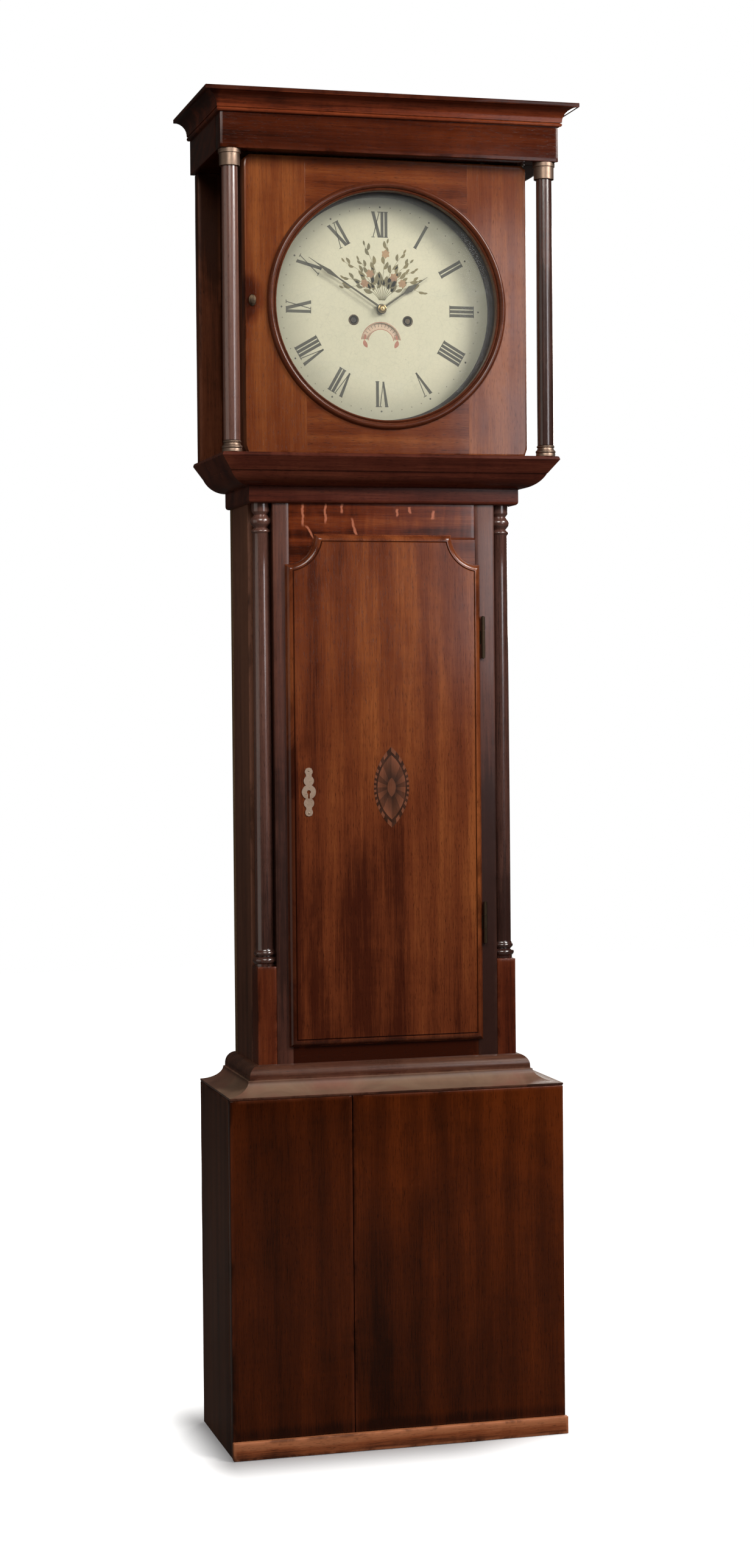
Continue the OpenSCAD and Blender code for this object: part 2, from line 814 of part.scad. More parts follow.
module dial() {
  color("#d8d2b4") dial_slab(dial_y, dial_y + dial_t) difference() {
    circle(dial_r, $fn = 128);
    circle(6.2);
    for (p = [going_p, strike_p]) translate(p) circle(6.5);
    calendar_mouth();
  }
}

pillar_ps = [[-62, -82], [62, -82], [-66, 98], [66, 98]];
foot_ps = [[-60, 62], [60, 62], [-62, -62], [62, -62]];

// Four pillars hold the plates apart and four pins hold the dial.
module movement_pillars() {
  color("#b39450") {
    for (p = pillar_ps) arbor(p, plate_y0, back_plate_y, 4.5);
    for (p = foot_ps) arbor(p, dial_y + dial_t, front_plate_y, 2.5);
  }
}

module plate_holes() {
  for (p = [third_p, escape_p, hammer_p, [0, pivot_z - dial_z]]) translate(p)
    circle(pivot_r + run_gap, $fn = 24);
  for (p = [going_p, strike_p]) translate(p) circle(winding_r + run_gap, $fn = 32);
}

module plate2d() {
  translate([-plate_x, seat_top - dial_z]) square([2 * plate_x, plate_top - seat_top]);
}

// Studs on the front plate carry the minute wheel and the date ring.
module front_plate() {
  color("#b8994f") {
    dial_slab(front_plate_y, plate_y0) difference() {
      plate2d();
      plate_holes();
      circle(3 + run_gap, $fn = 32);
    }
    arbor(minute_p, hour_wheel_y - 4, front_plate_y, stud_r);
    arbor(date_p, date_y - 0.5, front_plate_y, 2);
    arbor(date_p, date_y + 1.4, front_plate_y, 3.2);
  }
}

module back_plate() {
  color("#b8994f") dial_slab(back_plate_y, back_plate_y + plate_t) difference() {
    plate2d();
    plate_holes();
    circle(pivot_r + run_gap, $fn = 24);
    translate([0, pivot_z - dial_z]) circle(arbor_r + run_gap, $fn = 24);
  }
}

// The back cock has a shelf and two lugs with a bore; the bell stand rises beside it.
module movement_brackets() {
  y0 = back_plate_y + plate_t;
  top = bell_z + bell_r;
  color("#a98a45") {
    difference() {
      union() {
        box([-14, y0, pivot_z + 8], [14, y0 + 3, pivot_z + 24]);
        box([-14, y0, pivot_z + 8], [14, pendulum_y + 8, pivot_z + 12]);
        for (y = [pendulum_y - 7, pendulum_y + 3]) box([-6, y, pivot_z - 5], [6, y + 4, pivot_z + 10]);
      }
      rod(0, pivot_z, pendulum_y - 8, pendulum_y + 8, arbor_r + run_gap, $fn = 32);
    }
    box([-6, y0, plate_top - 12], [6, y0 + 3, top + 4]);
    box([-6, bell_y - 6, top], [6, y0 + 3, top + 4]);
  }
}

// Bell, a shallow cup with a boss under the stand.
module bell() {
  color("#c2a25a") translate([0, bell_y, bell_z]) {
    rotate_extrude() difference() {
      polygon(concat([[0, 0]], arc([0, 0], bell_r, 0, 90, 16)));
      polygon(concat([[-1, -1], [bell_r - 2.2, -1]], arc([0, 0], bell_r - 2.2, 0, 90, 16), [[-1, bell_r - 2.2]]));
    }
    translate([0, 0, bell_r - 2]) cylinder(h = 2, r = 5);
  }
}

// The hammer swings between the plates and strikes the bell's rim from the left.
module bell_hammer() {
  y = bell_y;
  head = [-bell_r - 9.5, bell_z - dial_z + 4];
  color("#6e6a64") {
    arbor(hammer_p, plate_y0 + 0.3, back_plate_y - 0.3, arbor_r);
    arbor(hammer_p, front_plate_y, back_plate_y + plate_t, pivot_r);
    arbor(hammer_p, y - 3, y + 3, 4);
    dial_slab(y - 1.2, y + 1.2) polygon([
      hammer_p + [-2.5, 0], hammer_p + [2.5, 0], head + [1.5, 0], head + [-1.5, 0]
    ]);
    translate([head.x - 7, y, dial_z + head.y]) rotate([0, 90, 0]) cylinder(h = 14, r = 5.5);
  }
}

// Pendulum: a pin in the cock's bore, a spring, a long rod and a lenticular bob.
module pendulum_rod() {
  color("#9a9488") {
    rod(0, pivot_z, pendulum_y - 7, pendulum_y + 7, 1.6, $fn = 32);
    box([-5, pendulum_y - 2, pivot_z - 8], [5, pendulum_y + 2, pivot_z + 3.5]);
    box([-6, pendulum_y - 0.3, pivot_z - 34], [6, pendulum_y + 0.3, pivot_z - 8]);
    box([-5, pendulum_y - 2, pivot_z - 44], [5, pendulum_y + 2, pivot_z - 34]);
    translate([0, pendulum_y, bob_z - bob_r - 26]) cylinder(h = pivot_z - 44 - bob_z + bob_r + 26, r = 2);
    translate([0, pendulum_y, bob_z - bob_r - 14]) cylinder(h = 8, r = 8);
  }
}

module pendulum_bob() {
  color("#b99a55") difference() {
    translate([0, pendulum_y, bob_z]) rotate([90, 0, 0]) rotate_extrude() polygon(concat(
      [[0, -bob_t / 2]], [for (i = [0 : 10]) let (t = i / 10)
        [bob_r * t, -bob_t / 2 * sqrt(1 - 0.93 * t * t)]],
      [for (i = [10 : -1 : 0]) let (t = i / 10) [bob_r * t, bob_t / 2 * sqrt(1 - 0.93 * t * t)]]
    ));
    translate([0, pendulum_y, bob_z - bob_r - 1]) cylinder(h = 2 * bob_r + 2, r = 2);
  }
}

// Going train.
module great_wheel() {
  color("#b8994f") dial_slab(great_wheel_y, great_wheel_y + 3) translate(going_p) difference() {
    rotate(atan2(-going_p.y, -going_p.x)) wheel2d(great_teeth, great_m);
    circle(winding_r + run_gap, $fn = 32);
    crossings(14, 34, 4);
  }
}

module centre_wheel() {
  dir = atan2(going_p.y, going_p.x);
  color("#b8994f") {
    arbor([0, 0], front_plate_y - 3, plate_y0 + 3, 3);
    arbor([0, 0], cannon_y - 1, back_plate_y - 0.3, arbor_r + 0.4);
    arbor([0, 0], back_plate_y - 1, back_plate_y + plate_t, pivot_r);
    arbor([0, 0], minute_hand_y - 3, cannon_y, cannon_r);
    dial_slab(cannon_y, cannon_y + wheel_t) rotate(minute_dir) wheel2d(cannon_teeth, motion_m);
    dial_slab(centre_wheel_y, centre_wheel_y + wheel_t) rotate(third_dir) difference() {
      wheel2d(centre_teeth, centre_m);
      crossings(6, 18.5, 4);
    }
    dial_slab(great_wheel_y - 1.5, great_wheel_y + 4.5) rotate(dir + 180 / centre_leaves)
      pinion2d(centre_leaves, great_m);
  }
}

module third_wheel() {
  next = atan2(escape_p.y - third_p.y, escape_p.x - third_p.x);
  color("#b8994f") {
    arbor(third_p, plate_y0 + 0.3, back_plate_y - 0.3, arbor_r);
    arbor(third_p, front_plate_y, back_plate_y + plate_t, pivot_r);
    dial_slab(centre_wheel_y - 1.5, centre_wheel_y + wheel_t + 1.5) translate(third_p)
      rotate(third_dir + 180 + 180 / third_leaves) pinion2d(third_leaves, centre_m);
    dial_slab(third_wheel_y, third_wheel_y + wheel_t) translate(third_p) rotate(next) difference() {
      wheel2d(third_teeth, third_m);
      crossings(5, 15, 4);
    }
  }
}

module escape_wheel() {
  back = atan2(third_p.y - escape_p.y, third_p.x - escape_p.x);
  color("#b8994f") {
    arbor(escape_p, plate_y0 + 0.3, back_plate_y - 0.3, arbor_r);
    arbor(escape_p, front_plate_y, back_plate_y + plate_t, pivot_r);
    dial_slab(third_wheel_y - 1.5, third_wheel_y + wheel_t + 1.5) translate(escape_p)
      rotate(back + 180 / escape_leaves) pinion2d(escape_leaves, third_m);
    dial_slab(escape_wheel_y, escape_wheel_y + wheel_t) translate(escape_p) difference() {
      polygon([for (i = [0 : escape_teeth - 1]) for (c = [[0.83, 0], [1, 0.28], [0.83, 0.4]])
        let (a = 360 / escape_teeth * (i + c[1])) escape_r * c[0] * [cos(a), sin(a)]]);
      crossings(5, 13, 4);
    }
  }
}

// The pallets keep clear of the teeth at every angle of the wheel.
module pallet_anchor() {
  h = pivot_z - dial_z;
  y_crutch = back_plate_y + plate_t + 3;
  color("#6e6a64") {
    rod(0, pivot_z, plate_y0 + 0.3, back_plate_y - 0.3, arbor_r);
    rod(0, pivot_z, front_plate_y, back_plate_y - 0.3, pivot_r);
    rod(0, pivot_z, back_plate_y - 0.3, y_crutch + 2, arbor_r);
    dial_slab(escape_wheel_y - 0.5, escape_wheel_y + wheel_t + 0.5) {
      translate(escape_p) difference() {
        circle(escape_r + 6.5);
        circle(escape_r + 3);
        translate([-3, -3] * escape_r) square([6, 3.72] * escape_r);
      }
      translate([-3, escape_p.y + escape_r + 4]) square([6, h - escape_p.y - escape_r - 4]);
      translate([0, h]) circle(4);
    }
    box([-2.5, y_crutch, pivot_z - 92], [2.5, y_crutch + 2, pivot_z]);
    for (s = [-1, 1]) box([s > 0 ? 2.4 : -5, y_crutch, pivot_z - 92], [s > 0 ? 5 : -2.4, pendulum_y + 5, pivot_z - 88]);
    box([-5, y_crutch, pivot_z - 92], [5, y_crutch + 2, pivot_z - 88]);
  }
}

// Motion work behind the dial and the hands in front of it.
module minute_wheel() {
  color("#b8994f") difference() {
    union() {
      dial_slab(cannon_y, cannon_y + wheel_t) translate(minute_p)
        rotate(minute_dir + 180 + 180 / minute_teeth) wheel2d(minute_teeth, motion_m);
      dial_slab(hour_wheel_y - 1, cannon_y) translate(minute_p)
        rotate(minute_dir + 180 + 180 / minute_leaves) pinion2d(minute_leaves, hour_m);
    }
    arbor(minute_p, hour_wheel_y - 9, front_plate_y, stud_r + run_gap);
  }
}

module hour_wheel() {
  color("#b8994f") difference() {
    union() {
      dial_slab(hour_wheel_y, hour_wheel_y + wheel_t) rotate(minute_dir) wheel2d(hour_teeth, hour_m);
      arbor([0, 0], hour_hand_y - 1, hour_wheel_y + wheel_t, 5);
    }
    arbor([0, 0], hour_hand_y - 2, hour_wheel_y + wheel_t + 1, cannon_r + run_gap);
  }
}

// A hand pointing up along +Z: round boss, slim shank, leaf and point.
module hand2d(len, boss, leaf_at, leaf_w) {
  circle(boss);
  polygon([[-1.6, 0], [1.6, 0], [1.1, len * (leaf_at - 0.12)], [leaf_w, len * leaf_at],
           [0.7, len * (leaf_at + 0.16)], [0.25, len], [-0.25, len], [-0.7, len * (leaf_at + 0.16)],
           [-leaf_w, len * leaf_at], [-1.1, len * (leaf_at - 0.12)]]);
}

module minute_hand() {
  color("#2c261c") dial_slab(minute_hand_y, minute_hand_y + hand_t) difference() {
    rotate(-minute_rest) hand2d(minute_len, 6, 0.72, 3.4);
    circle(cannon_r);
  }
}

module hour_hand() {
  color("#2c261c") dial_slab(hour_hand_y, hour_hand_y + hand_t) difference() {
    rotate(-(30 + minute_rest / 12)) hand2d(hour_len, 8, 0.62, 5);
    circle(5);
  }
}

module date_ring() {
  color("#e2dcc4") dial_slab(date_y, date_y + 1) translate(date_p) difference() {
    circle(date_r);
    circle(2 + run_gap, $fn = 32);
  }
}

// Winding barrels: flanges, drum and the arbor that reaches out to the dial.
module barrel(p) {
  arbor(p, dial_y + 1, back_plate_y + plate_t, winding_r);
  arbor(p, barrel_y0, barrel_y1, barrel_r);
  arbor(p, barrel_y0 - 1.5, barrel_y0, barrel_r + 2.5);
  arbor(p, barrel_y1, barrel_y1 + 1.5, barrel_r + 2.5);
  arbor(p, barrel_y1, great_wheel_y - part_gap, 8);
  arbor(p, great_wheel_y + 3 + part_gap, back_plate_y - part_gap, 8);
}

module going_barrel() {
  color("#c0a05a") barrel(going_p);
}

// The striking side's great wheel is part of this piece.
module strike_barrel() {
  color("#c0a05a") {
    barrel(strike_p);
    dial_slab(strike_wheel_y, strike_wheel_y + 3) translate(strike_p) wheel2d(84, 1);
  }
}

// A weight hangs from its pulley by a stirrup.
module weight(x) {
  difference() {
    union() {
      translate([x, line_y, weight_z]) cylinder(h = weight_h, r = weight_r);
      translate([x, line_y, weight_z + weight_h]) cylinder(h = 6, r = 10);
      translate([x, line_y, weight_z + weight_h]) cylinder(h = pulley_z - pulley_r - 10 - weight_z - weight_h, r = 3);
      box([x - 5, line_y - pulley_t / 2 - 3, pulley_z - pulley_r - 10],
          [x + 5, line_y + pulley_t / 2 + 3, pulley_z - pulley_r - 7]);
      for (y = [line_y - pulley_t / 2 - 3, line_y + pulley_t / 2 + 1])
        box([x - 5, y, pulley_z - pulley_r - 10], [x + 5, y + 2, pulley_z + 6]);
    }
    rod(x, pulley_z, line_y - 20, line_y + 20, 2 + run_gap, $fn = 32);
  }
}

module going_weight() {
  color("#7d7a72") weight(going_x);
}

module strike_weight() {
  color("#7d7a72") weight(strike_x);
}

module pulley(x) {
  rod(x, pulley_z, line_y - pulley_t / 2 - 3, line_y + pulley_t / 2 + 3, 2, $fn = 32);
  translate([x, line_y, pulley_z]) rotate([90, 0, 0]) rotate_extrude() polygon([
    [0, -pulley_t / 2], [pulley_r + 3, -pulley_t / 2], [pulley_r + 3, -pulley_t / 2 + 1.5],
    [pulley_r, -1.4], [pulley_r, 1.4], [pulley_r + 3, pulley_t / 2 - 1.5],
    [pulley_r + 3, pulley_t / 2], [0, pulley_t / 2]
  ]);
}

module going_pulley() {
  color("#c0a05a") pulley(going_x);
}

module strike_pulley() {
  color("#c0a05a") pulley(strike_x);
}

// A line hangs in a loop under the seatboard and carries its weight's pulley.
module hanging_line(x) {
  for (s = [-1, 1]) translate([x + s * line_run_r, line_y, pulley_z])
    cylinder(h = seat_bottom - pulley_z, r = line_r, $fn = 16);
  translate([x, line_y, pulley_z]) rotate([90, 0, 0]) rotate([0, 0, 180])
    rotate_extrude(angle = 180) translate([line_run_r, 0]) circle(line_r, $fn = 16);
}

module going_line() {
  color("#cbb98e") hanging_line(going_x);
}

module strike_line() {
  color("#cbb98e") hanging_line(strike_x);
}

// Each line's run up to its barrel, and its other end, knotted on top of the seatboard.
module line_ends() {
  color("#cbb98e") for (x = [going_x, strike_x]) {
    translate([x - line_run_r, line_y, seat_bottom])
      cylinder(h = dial_z - wind_down - seat_bottom, r = line_r, $fn = 16);
    translate([x + line_run_r, line_y, seat_bottom]) cylinder(h = seat_t + 1, r = line_r, $fn = 16);
    translate([x + line_run_r, line_y, seat_top]) cylinder(h = 4, r = 3, $fn = 16);
  }
}

base_front();
base_sides();
base_floor();
plinth_skirt();
base_moulding();
trunk_sides();
trunk_stiles();
trunk_rails();
trunk_columns();
column_blocks();
throat_moulding();
backboards();
seatboard();
trunk_hinge_leaves();
dial();
movement_pillars();
front_plate();
back_plate();
movement_brackets();
bell();
hood_top_board();
hood_cornice();
hood_frieze();
hood_sides();
hood_rear_posts();
hood_frame();
hood_columns();
column_brasses();
hood_mask();
hood_door_frame();
hood_door_bezel();
hood_door_glass();
hood_door_pivots();
trunk_door();
trunk_door_inlay();
trunk_door_escutcheon();
trunk_door_lock();
trunk_door_hinges();
pendulum_rod();
pendulum_bob();
great_wheel();
centre_wheel();
third_wheel();
escape_wheel();
pallet_anchor();
minute_wheel();
hour_wheel();
minute_hand();
hour_hand();
date_ring();
bell_hammer();
going_barrel();
strike_barrel();
going_weight();
strike_weight();
going_pulley();
strike_pulley();
going_line();
strike_line();
line_ends();
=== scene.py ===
# %% [markdown]
# # Longcase clock
# A mahogany longcase clock with a round painted dial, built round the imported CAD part.
# All lengths are in metres, X is the clock's width, -Y its front and Z up.

# %% Start: load the fixed frame
import json
import math

import bpy
import numpy as np
from mathutils import Matrix, Vector


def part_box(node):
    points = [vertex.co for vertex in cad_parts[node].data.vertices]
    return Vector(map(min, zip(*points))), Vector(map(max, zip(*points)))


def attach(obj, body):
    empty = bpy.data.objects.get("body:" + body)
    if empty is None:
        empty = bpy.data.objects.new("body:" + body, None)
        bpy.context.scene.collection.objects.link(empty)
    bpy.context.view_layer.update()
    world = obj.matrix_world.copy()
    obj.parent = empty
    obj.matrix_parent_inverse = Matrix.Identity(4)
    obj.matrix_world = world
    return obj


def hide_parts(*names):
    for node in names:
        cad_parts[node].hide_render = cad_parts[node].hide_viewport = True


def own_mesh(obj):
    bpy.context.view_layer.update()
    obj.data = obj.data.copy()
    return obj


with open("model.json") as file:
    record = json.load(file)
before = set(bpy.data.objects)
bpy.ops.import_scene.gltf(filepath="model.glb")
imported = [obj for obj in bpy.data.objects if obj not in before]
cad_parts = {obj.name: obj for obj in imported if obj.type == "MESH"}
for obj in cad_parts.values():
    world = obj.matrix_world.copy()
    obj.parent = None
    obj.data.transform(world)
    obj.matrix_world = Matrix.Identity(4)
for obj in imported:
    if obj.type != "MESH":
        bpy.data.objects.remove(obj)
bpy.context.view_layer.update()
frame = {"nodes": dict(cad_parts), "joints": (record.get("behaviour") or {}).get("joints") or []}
NODES = frame["nodes"]
rng = np.random.default_rng(7)

# %% [markdown]
# ## Sizes
# The finer pieces made here have to lie on the CAD's solids. Typing their sizes again would let the
# two drift apart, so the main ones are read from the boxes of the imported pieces.


# %% Sizes of the case
def corners(node):
    """The two corners of a CAD piece's box. Single precision puts them off by less than a hundredth
    of a millimetre, which the rounding takes away."""
    return [[round(v, 5) for v in corner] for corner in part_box(node)]


# X sizes are half-widths from the middle, and Y sizes of a front are below those of its back. SEAT
# is where the hood stands, THROAT the foot of the moulding under it, REBATE the square corner cut
# out for each trunk column, CHEEK the inner face of a trunk side, and BOARD the roof's underside.
MM = 0.001
(_, BASE_Y, _), (BASE_X, BASE_IN_Y, BASE_H) = corners("base_front")
(_, INNER_BACK, _), (_, BACK, _) = corners("backboards")
(_, TRUNK_Y, TRUNK_FOOT), (CHEEK_X, STILE_BACK, SEAT) = corners("trunk_stiles")
(_, REBATE_Y, _), (TRUNK_X, _, CHEEK_TOP) = corners("trunk_sides")
(_, _, BLOCK_TOP), (_, _, THROAT) = corners("trunk_columns")
(_, HOOD_Y, _), (HOOD_X, _, FRAME_TOP) = corners("hood_frame")
(_, SIDE_FRONT, _), (SIDE_X, _, _) = corners("hood_sides")
(_, _, FRIEZE), (_, _, BOARD) = corners("hood_frieze")
TOP = corners("hood_top_board")[1][2]
(_, DIAL_FACE, low), (_, _, high) = corners("dial")
DIAL = (low + high) / 2
(left, FACE, low), (right, PANEL_BACK, high) = corners("trunk_door")
DOOR_X, DOOR_W = (left + right) / 2, (right - left) / 2
DOOR_MID, DOOR_H = (low + high) / 2, (high - low) / 2
REBATE_X = CHEEK_X - 0.0162
print("clock height", TOP, "dial centre", round(DIAL, 5))

# %% [markdown]
# ## Mesh tools
# A part is a dictionary of numpy arrays: points, four-cornered faces, and one value per point for
# each of the two attributes. `edge` is 1 on an arris, 0 on a flat and below 0 in a hollow, where
# the wood paints shade; `tone` tells boards apart. Whole arrays are made at once, which is quicker
# than one vertex at a time.


# %% Grids of quads
def grid(P, edge=0.0, tone=0.5, wrap=False):
    """A surface through the points P[u, v]. Quads join each point to its neighbours along u and v,
    and the last column to the first where the surface wraps round."""
    nu, nv = P.shape[:2]
    idx = np.arange(nu * nv).reshape(nu, nv)
    if wrap:
        idx = np.append(idx, idx[:, :1], axis=1)
    quads = np.stack([idx[:-1, :-1], idx[1:, :-1], idx[1:, 1:], idx[:-1, 1:]], -1)
    E = np.broadcast_to(np.asarray(edge, float), (nu, nv)).reshape(-1)
    return dict(p=P.reshape(-1, 3).astype(float), q=quads.reshape(-1, 4), edge=E,
                tone=np.full(nu * nv, tone))


def join(*parts):
    """Puts parts one after another, with each part's face numbers counted on from the last."""
    parts = [x for p in parts for x in (p if isinstance(p, (list, tuple)) else [p])]
    start = np.cumsum([0] + [len(p["p"]) for p in parts[:-1]])
    out = {key: np.concatenate([p[key] for p in parts]) for key in ("p", "edge", "tone")}
    return dict(out, q=np.concatenate([p["q"] + s for p, s in zip(parts, start)]))


def flipped(part):
    """The same surface facing the other way."""
    return dict(part, q=part["q"][:, ::-1])


def mirrored(part, tone=0.3):
    """The part reflected in the plane X = 0, its faces turned to match and its tone shifted."""
    return dict(flipped(part), p=part["p"] * [-1, 1, 1], tone=(part["tone"] + tone) % 1)


def pair(part):
    """The part and its reflection."""
    return join(part, mirrored(part))


print("quads between 3 x 4 points", len(grid(np.zeros((3, 4, 3)))["q"]))

# %% [markdown]
# A part becomes an object here, and only here. foreach_set hands a whole array to the mesh in one
# call, and the two attributes go along so that the materials can read them. The object stays at
# the origin, unturned, with its place in its mesh, as the CAD's own pieces do.


# %% Objects
def make(name, part, material, body, node=None, smooth=40):
    """Makes the object, gives it its material, lets it ride on a CAD body and stands it in for a
    node. Corners sharper than the smooth angle, in degrees, stay crisp."""
    mesh = bpy.data.meshes.new(name)
    n = len(part["q"])
    mesh.vertices.add(len(part["p"]))
    mesh.vertices.foreach_set("co", part["p"].astype(np.float32).ravel())
    mesh.loops.add(4 * n)
    mesh.loops.foreach_set("vertex_index", part["q"].astype(np.int32).ravel())
    mesh.polygons.add(n)
    mesh.polygons.foreach_set("loop_start", np.arange(0, 4 * n, 4, dtype=np.int32))
    mesh.polygons.foreach_set("use_smooth", np.ones(n, bool))
    mesh.update(calc_edges=True)
    for key in ("edge", "tone"):
        values = mesh.attributes.new(key, "FLOAT", "POINT").data
        values.foreach_set("value", part[key].astype(np.float32))
    mesh.validate()
    mesh.set_sharp_from_angle(angle=math.radians(smooth))
    mesh.materials.append(material)
    obj = bpy.data.objects.new(name, mesh)
    bpy.context.scene.collection.objects.link(obj)
    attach(obj, body)
    if node:
        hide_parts(node)
    return obj


# %% [markdown]
# Hand work wavers a little. A few sine waves added up give a smooth random value at any point, and
# the same seed always gives the same waves, so the clock comes out alike each time.


# %% Smooth random waves
def ripple(p, scale, seed):
    """A smooth random value from -1 to 1 at each point: the mean of six sine waves in random
    directions, the wavelengths spread about `scale`."""
    r = np.random.default_rng(seed)
    d = r.normal(size=(6, 3))
    d /= np.linalg.norm(d, axis=1)[:, None]
    k = 2 * np.pi / (scale * r.uniform(0.6, 1.6, 6))
    return np.sin(p @ (d * k[:, None]).T + r.uniform(0, 6.28, 6)).mean(1)


print("ripple at the origin", ripple(np.zeros((1, 3)), 0.05, 0).round(3))

# %% [markdown]
# Old boards have rounded, slightly worn arrises. A Bevel modifier would round them all alike, so a
# board is a box whose grid points are pulled onto a box with rounded edges: each point moves to
# the nearest point of the inner box plus the radius along the line between them.


# %% Boards
def lines(lo, hi, r, near=0.006, step=0.03):
    """Grid lines from lo to hi: three in each rounded edge, one just inside it, and even steps
    between."""
    edge = r * np.array([0, 0.3, 1.0])
    middle = [(lo + hi) / 2]
    if hi - lo >= 3.2 * near:
        n = max(2, int(round((hi - lo - 2 * near) / step)) + 1)
        middle = np.linspace(lo + near, hi - near, n)
    return np.concatenate([lo + edge, middle, hi - edge[::-1]])


def board(lo, hi, r=0.0012, tone=None, seed=0, wear=0.0004, arris=1.0):
    """A box from corner lo to corner hi with rounded arrises of radius r, worn in a little more
    here and there. Where a board is glued to its neighbours its arris is weaker than 1."""
    lo, hi = np.array(lo, float), np.array(hi, float)
    r = min(r, 0.45 * (hi - lo).min())
    axes = [lines(lo[i], hi[i], r) for i in range(3)]
    tone = rng.uniform() if tone is None else tone
    sides = []
    for k in range(3):
        u, v = (k + 1) % 3, (k + 2) % 3
        U, V = np.meshgrid(axes[u], axes[v], indexing="ij")
        for end, value in ((0, lo[k]), (1, hi[k])):
            P = np.empty(U.shape + (3,))
            P[..., k], P[..., u], P[..., v] = value, U, V
            inner = np.clip(P, lo + r, hi - r)
            d = P - inner
            length = np.linalg.norm(d, axis=-1, keepdims=True)
            near = (np.abs(P - lo) < 2 * r).sum(-1) + (np.abs(P - hi) < 2 * r).sum(-1)
            E = arris * (near >= 2)
            uneven = ripple(P.reshape(-1, 3), 0.05, seed + 3).reshape(E.shape)
            worn = wear * E * (0.5 + 0.5 * uneven)
            P = inner + d / np.maximum(length, 1e-9) * (r - worn[..., None])
            side = grid(P, E, tone)
            sides.append(side if end else flipped(side))
    return join(sides)


print("points in one board", len(board((0, 0, 0), (0.1, 0.02, 0.5), tone=0.5)["p"]))

# %% [markdown]
# A lathe turns columns, rings and knobs, so they are profiles of radius and height swept round an
# axis. A profile is written as single points where it has corners and as arcs where it is round.


# %% Turned pieces
def turned(prof, centre, axis="z", n=72, tone=0.5):
    """The surface with radius r(h) round an axis through centre: x = r cos t, y = r sin t for an
    upright axis; for axis 'y' the height runs back along Y."""
    prof = np.array(prof, float)
    t = np.linspace(0, 2 * np.pi, n, endpoint=False)
    r, h = prof[:, 0][:, None], prof[:, 1][:, None] * np.ones(n)
    c, s = r * np.cos(t), r * np.sin(t)
    P = np.stack([c, s, h] if axis == "z" else [c, h, -s], -1)
    return flipped(grid(P + np.array(centre), 0, tone, wrap=True))


def curve(c, rx, ry, a0, a1, n=10):
    """Points of an elliptical arc: centre plus (rx cos a, ry sin a), with a from a0 to a1
    degrees."""
    a = np.radians(np.linspace(a0, a1, n + 1))
    return np.stack([c[0] + rx * np.cos(a), c[1] + ry * np.sin(a)], 1)


def profile(*pieces):
    """Points of an outline, from single points and from whole curves."""
    return np.concatenate([np.atleast_2d(piece) for piece in pieces])


print("points in a quarter round", len(curve((0, 0), 1, 1, 0, 90)))

# %% [markdown]
# A moulding is planed in long lengths and mitred at the corners. Its profile, of distance out and
# height, is carried along the front and both sides. At a given distance out the two lengths of a
# corner end at the same point, which makes the mitre without any cutting.


# %% Mouldings
def moulding(prof, half, front, inner=0.0, seed=0, step=0.03, wobble=0.00025):
    """Three lengths of a moulding. At distance s out of the box, the front length runs at
    Y = front - s from X = -(half + s) to half + s, and a side length at X = half + s from
    Y = front - s to the back. Its arrises are pushed in by up to `wobble`, as by long wear."""
    s, z = prof[:, 0], prof[:, 1]
    d = np.diff(prof, axis=0)
    d /= np.maximum(np.linalg.norm(d, axis=1), 1e-9)[:, None]
    turn = np.zeros(len(s))
    turn[1:-1] = np.clip((1 - (d[1:] * d[:-1]).sum(1)) * 3, 0, 1)
    k = np.linspace(0, 1, max(8, int(2 * half / step)))

    def sheet(along, out, zz):
        """Points of one length, for each distance out and height and each share k of its run."""
        out, one = out[:, None], np.ones(len(k))
        if along == "front":
            X, Y = (half + out) * (2 * k - 1), (front - out) * one
        else:
            X, Y = (half + out) * one, (front - out) + (BACK - front + out) * k
        return np.stack([X, Y, zz[:, None] * one], -1)

    def length(along, tone):
        """One length's face, its closing strips under and over it, and its back end."""
        face = grid(sheet(along, s, z), turn[:, None], tone)
        lids = [grid(sheet(along, np.array([inner, s[i]]), z[[i, i]]), 0, tone) for i in (0, -1)]
        ends = [sheet(along, out, z)[:, -1] for out in (np.full_like(s, inner), s)]
        return face, *lids, grid(np.stack(ends, 1), 0, tone)

    face, bottom, top, _ = length("front", 0.55)
    front_part = join(face, bottom, flipped(top))
    face, bottom, top, end = length("side", 0.2)
    right = join(face, flipped(bottom), top, flipped(end))
    out = join(flipped(front_part), right, mirrored(right, 0.6))
    pushed = np.abs(ripple(out["p"], 0.035, seed + 11)) * wobble * out["edge"]
    out["p"][:, 1] = np.minimum(out["p"][:, 1] + pushed, BACK)
    return out


print("mesh tools ready")

# %% [markdown]
# ## Shader tools
# The finish of old wood or brass is many faint layers, and each takes a handful of nodes. Written
# as links between nodes such a finish is hard to follow. So `Val` wraps a node's socket, and its
# operators add the Math nodes, which lets a sum read as a sum.


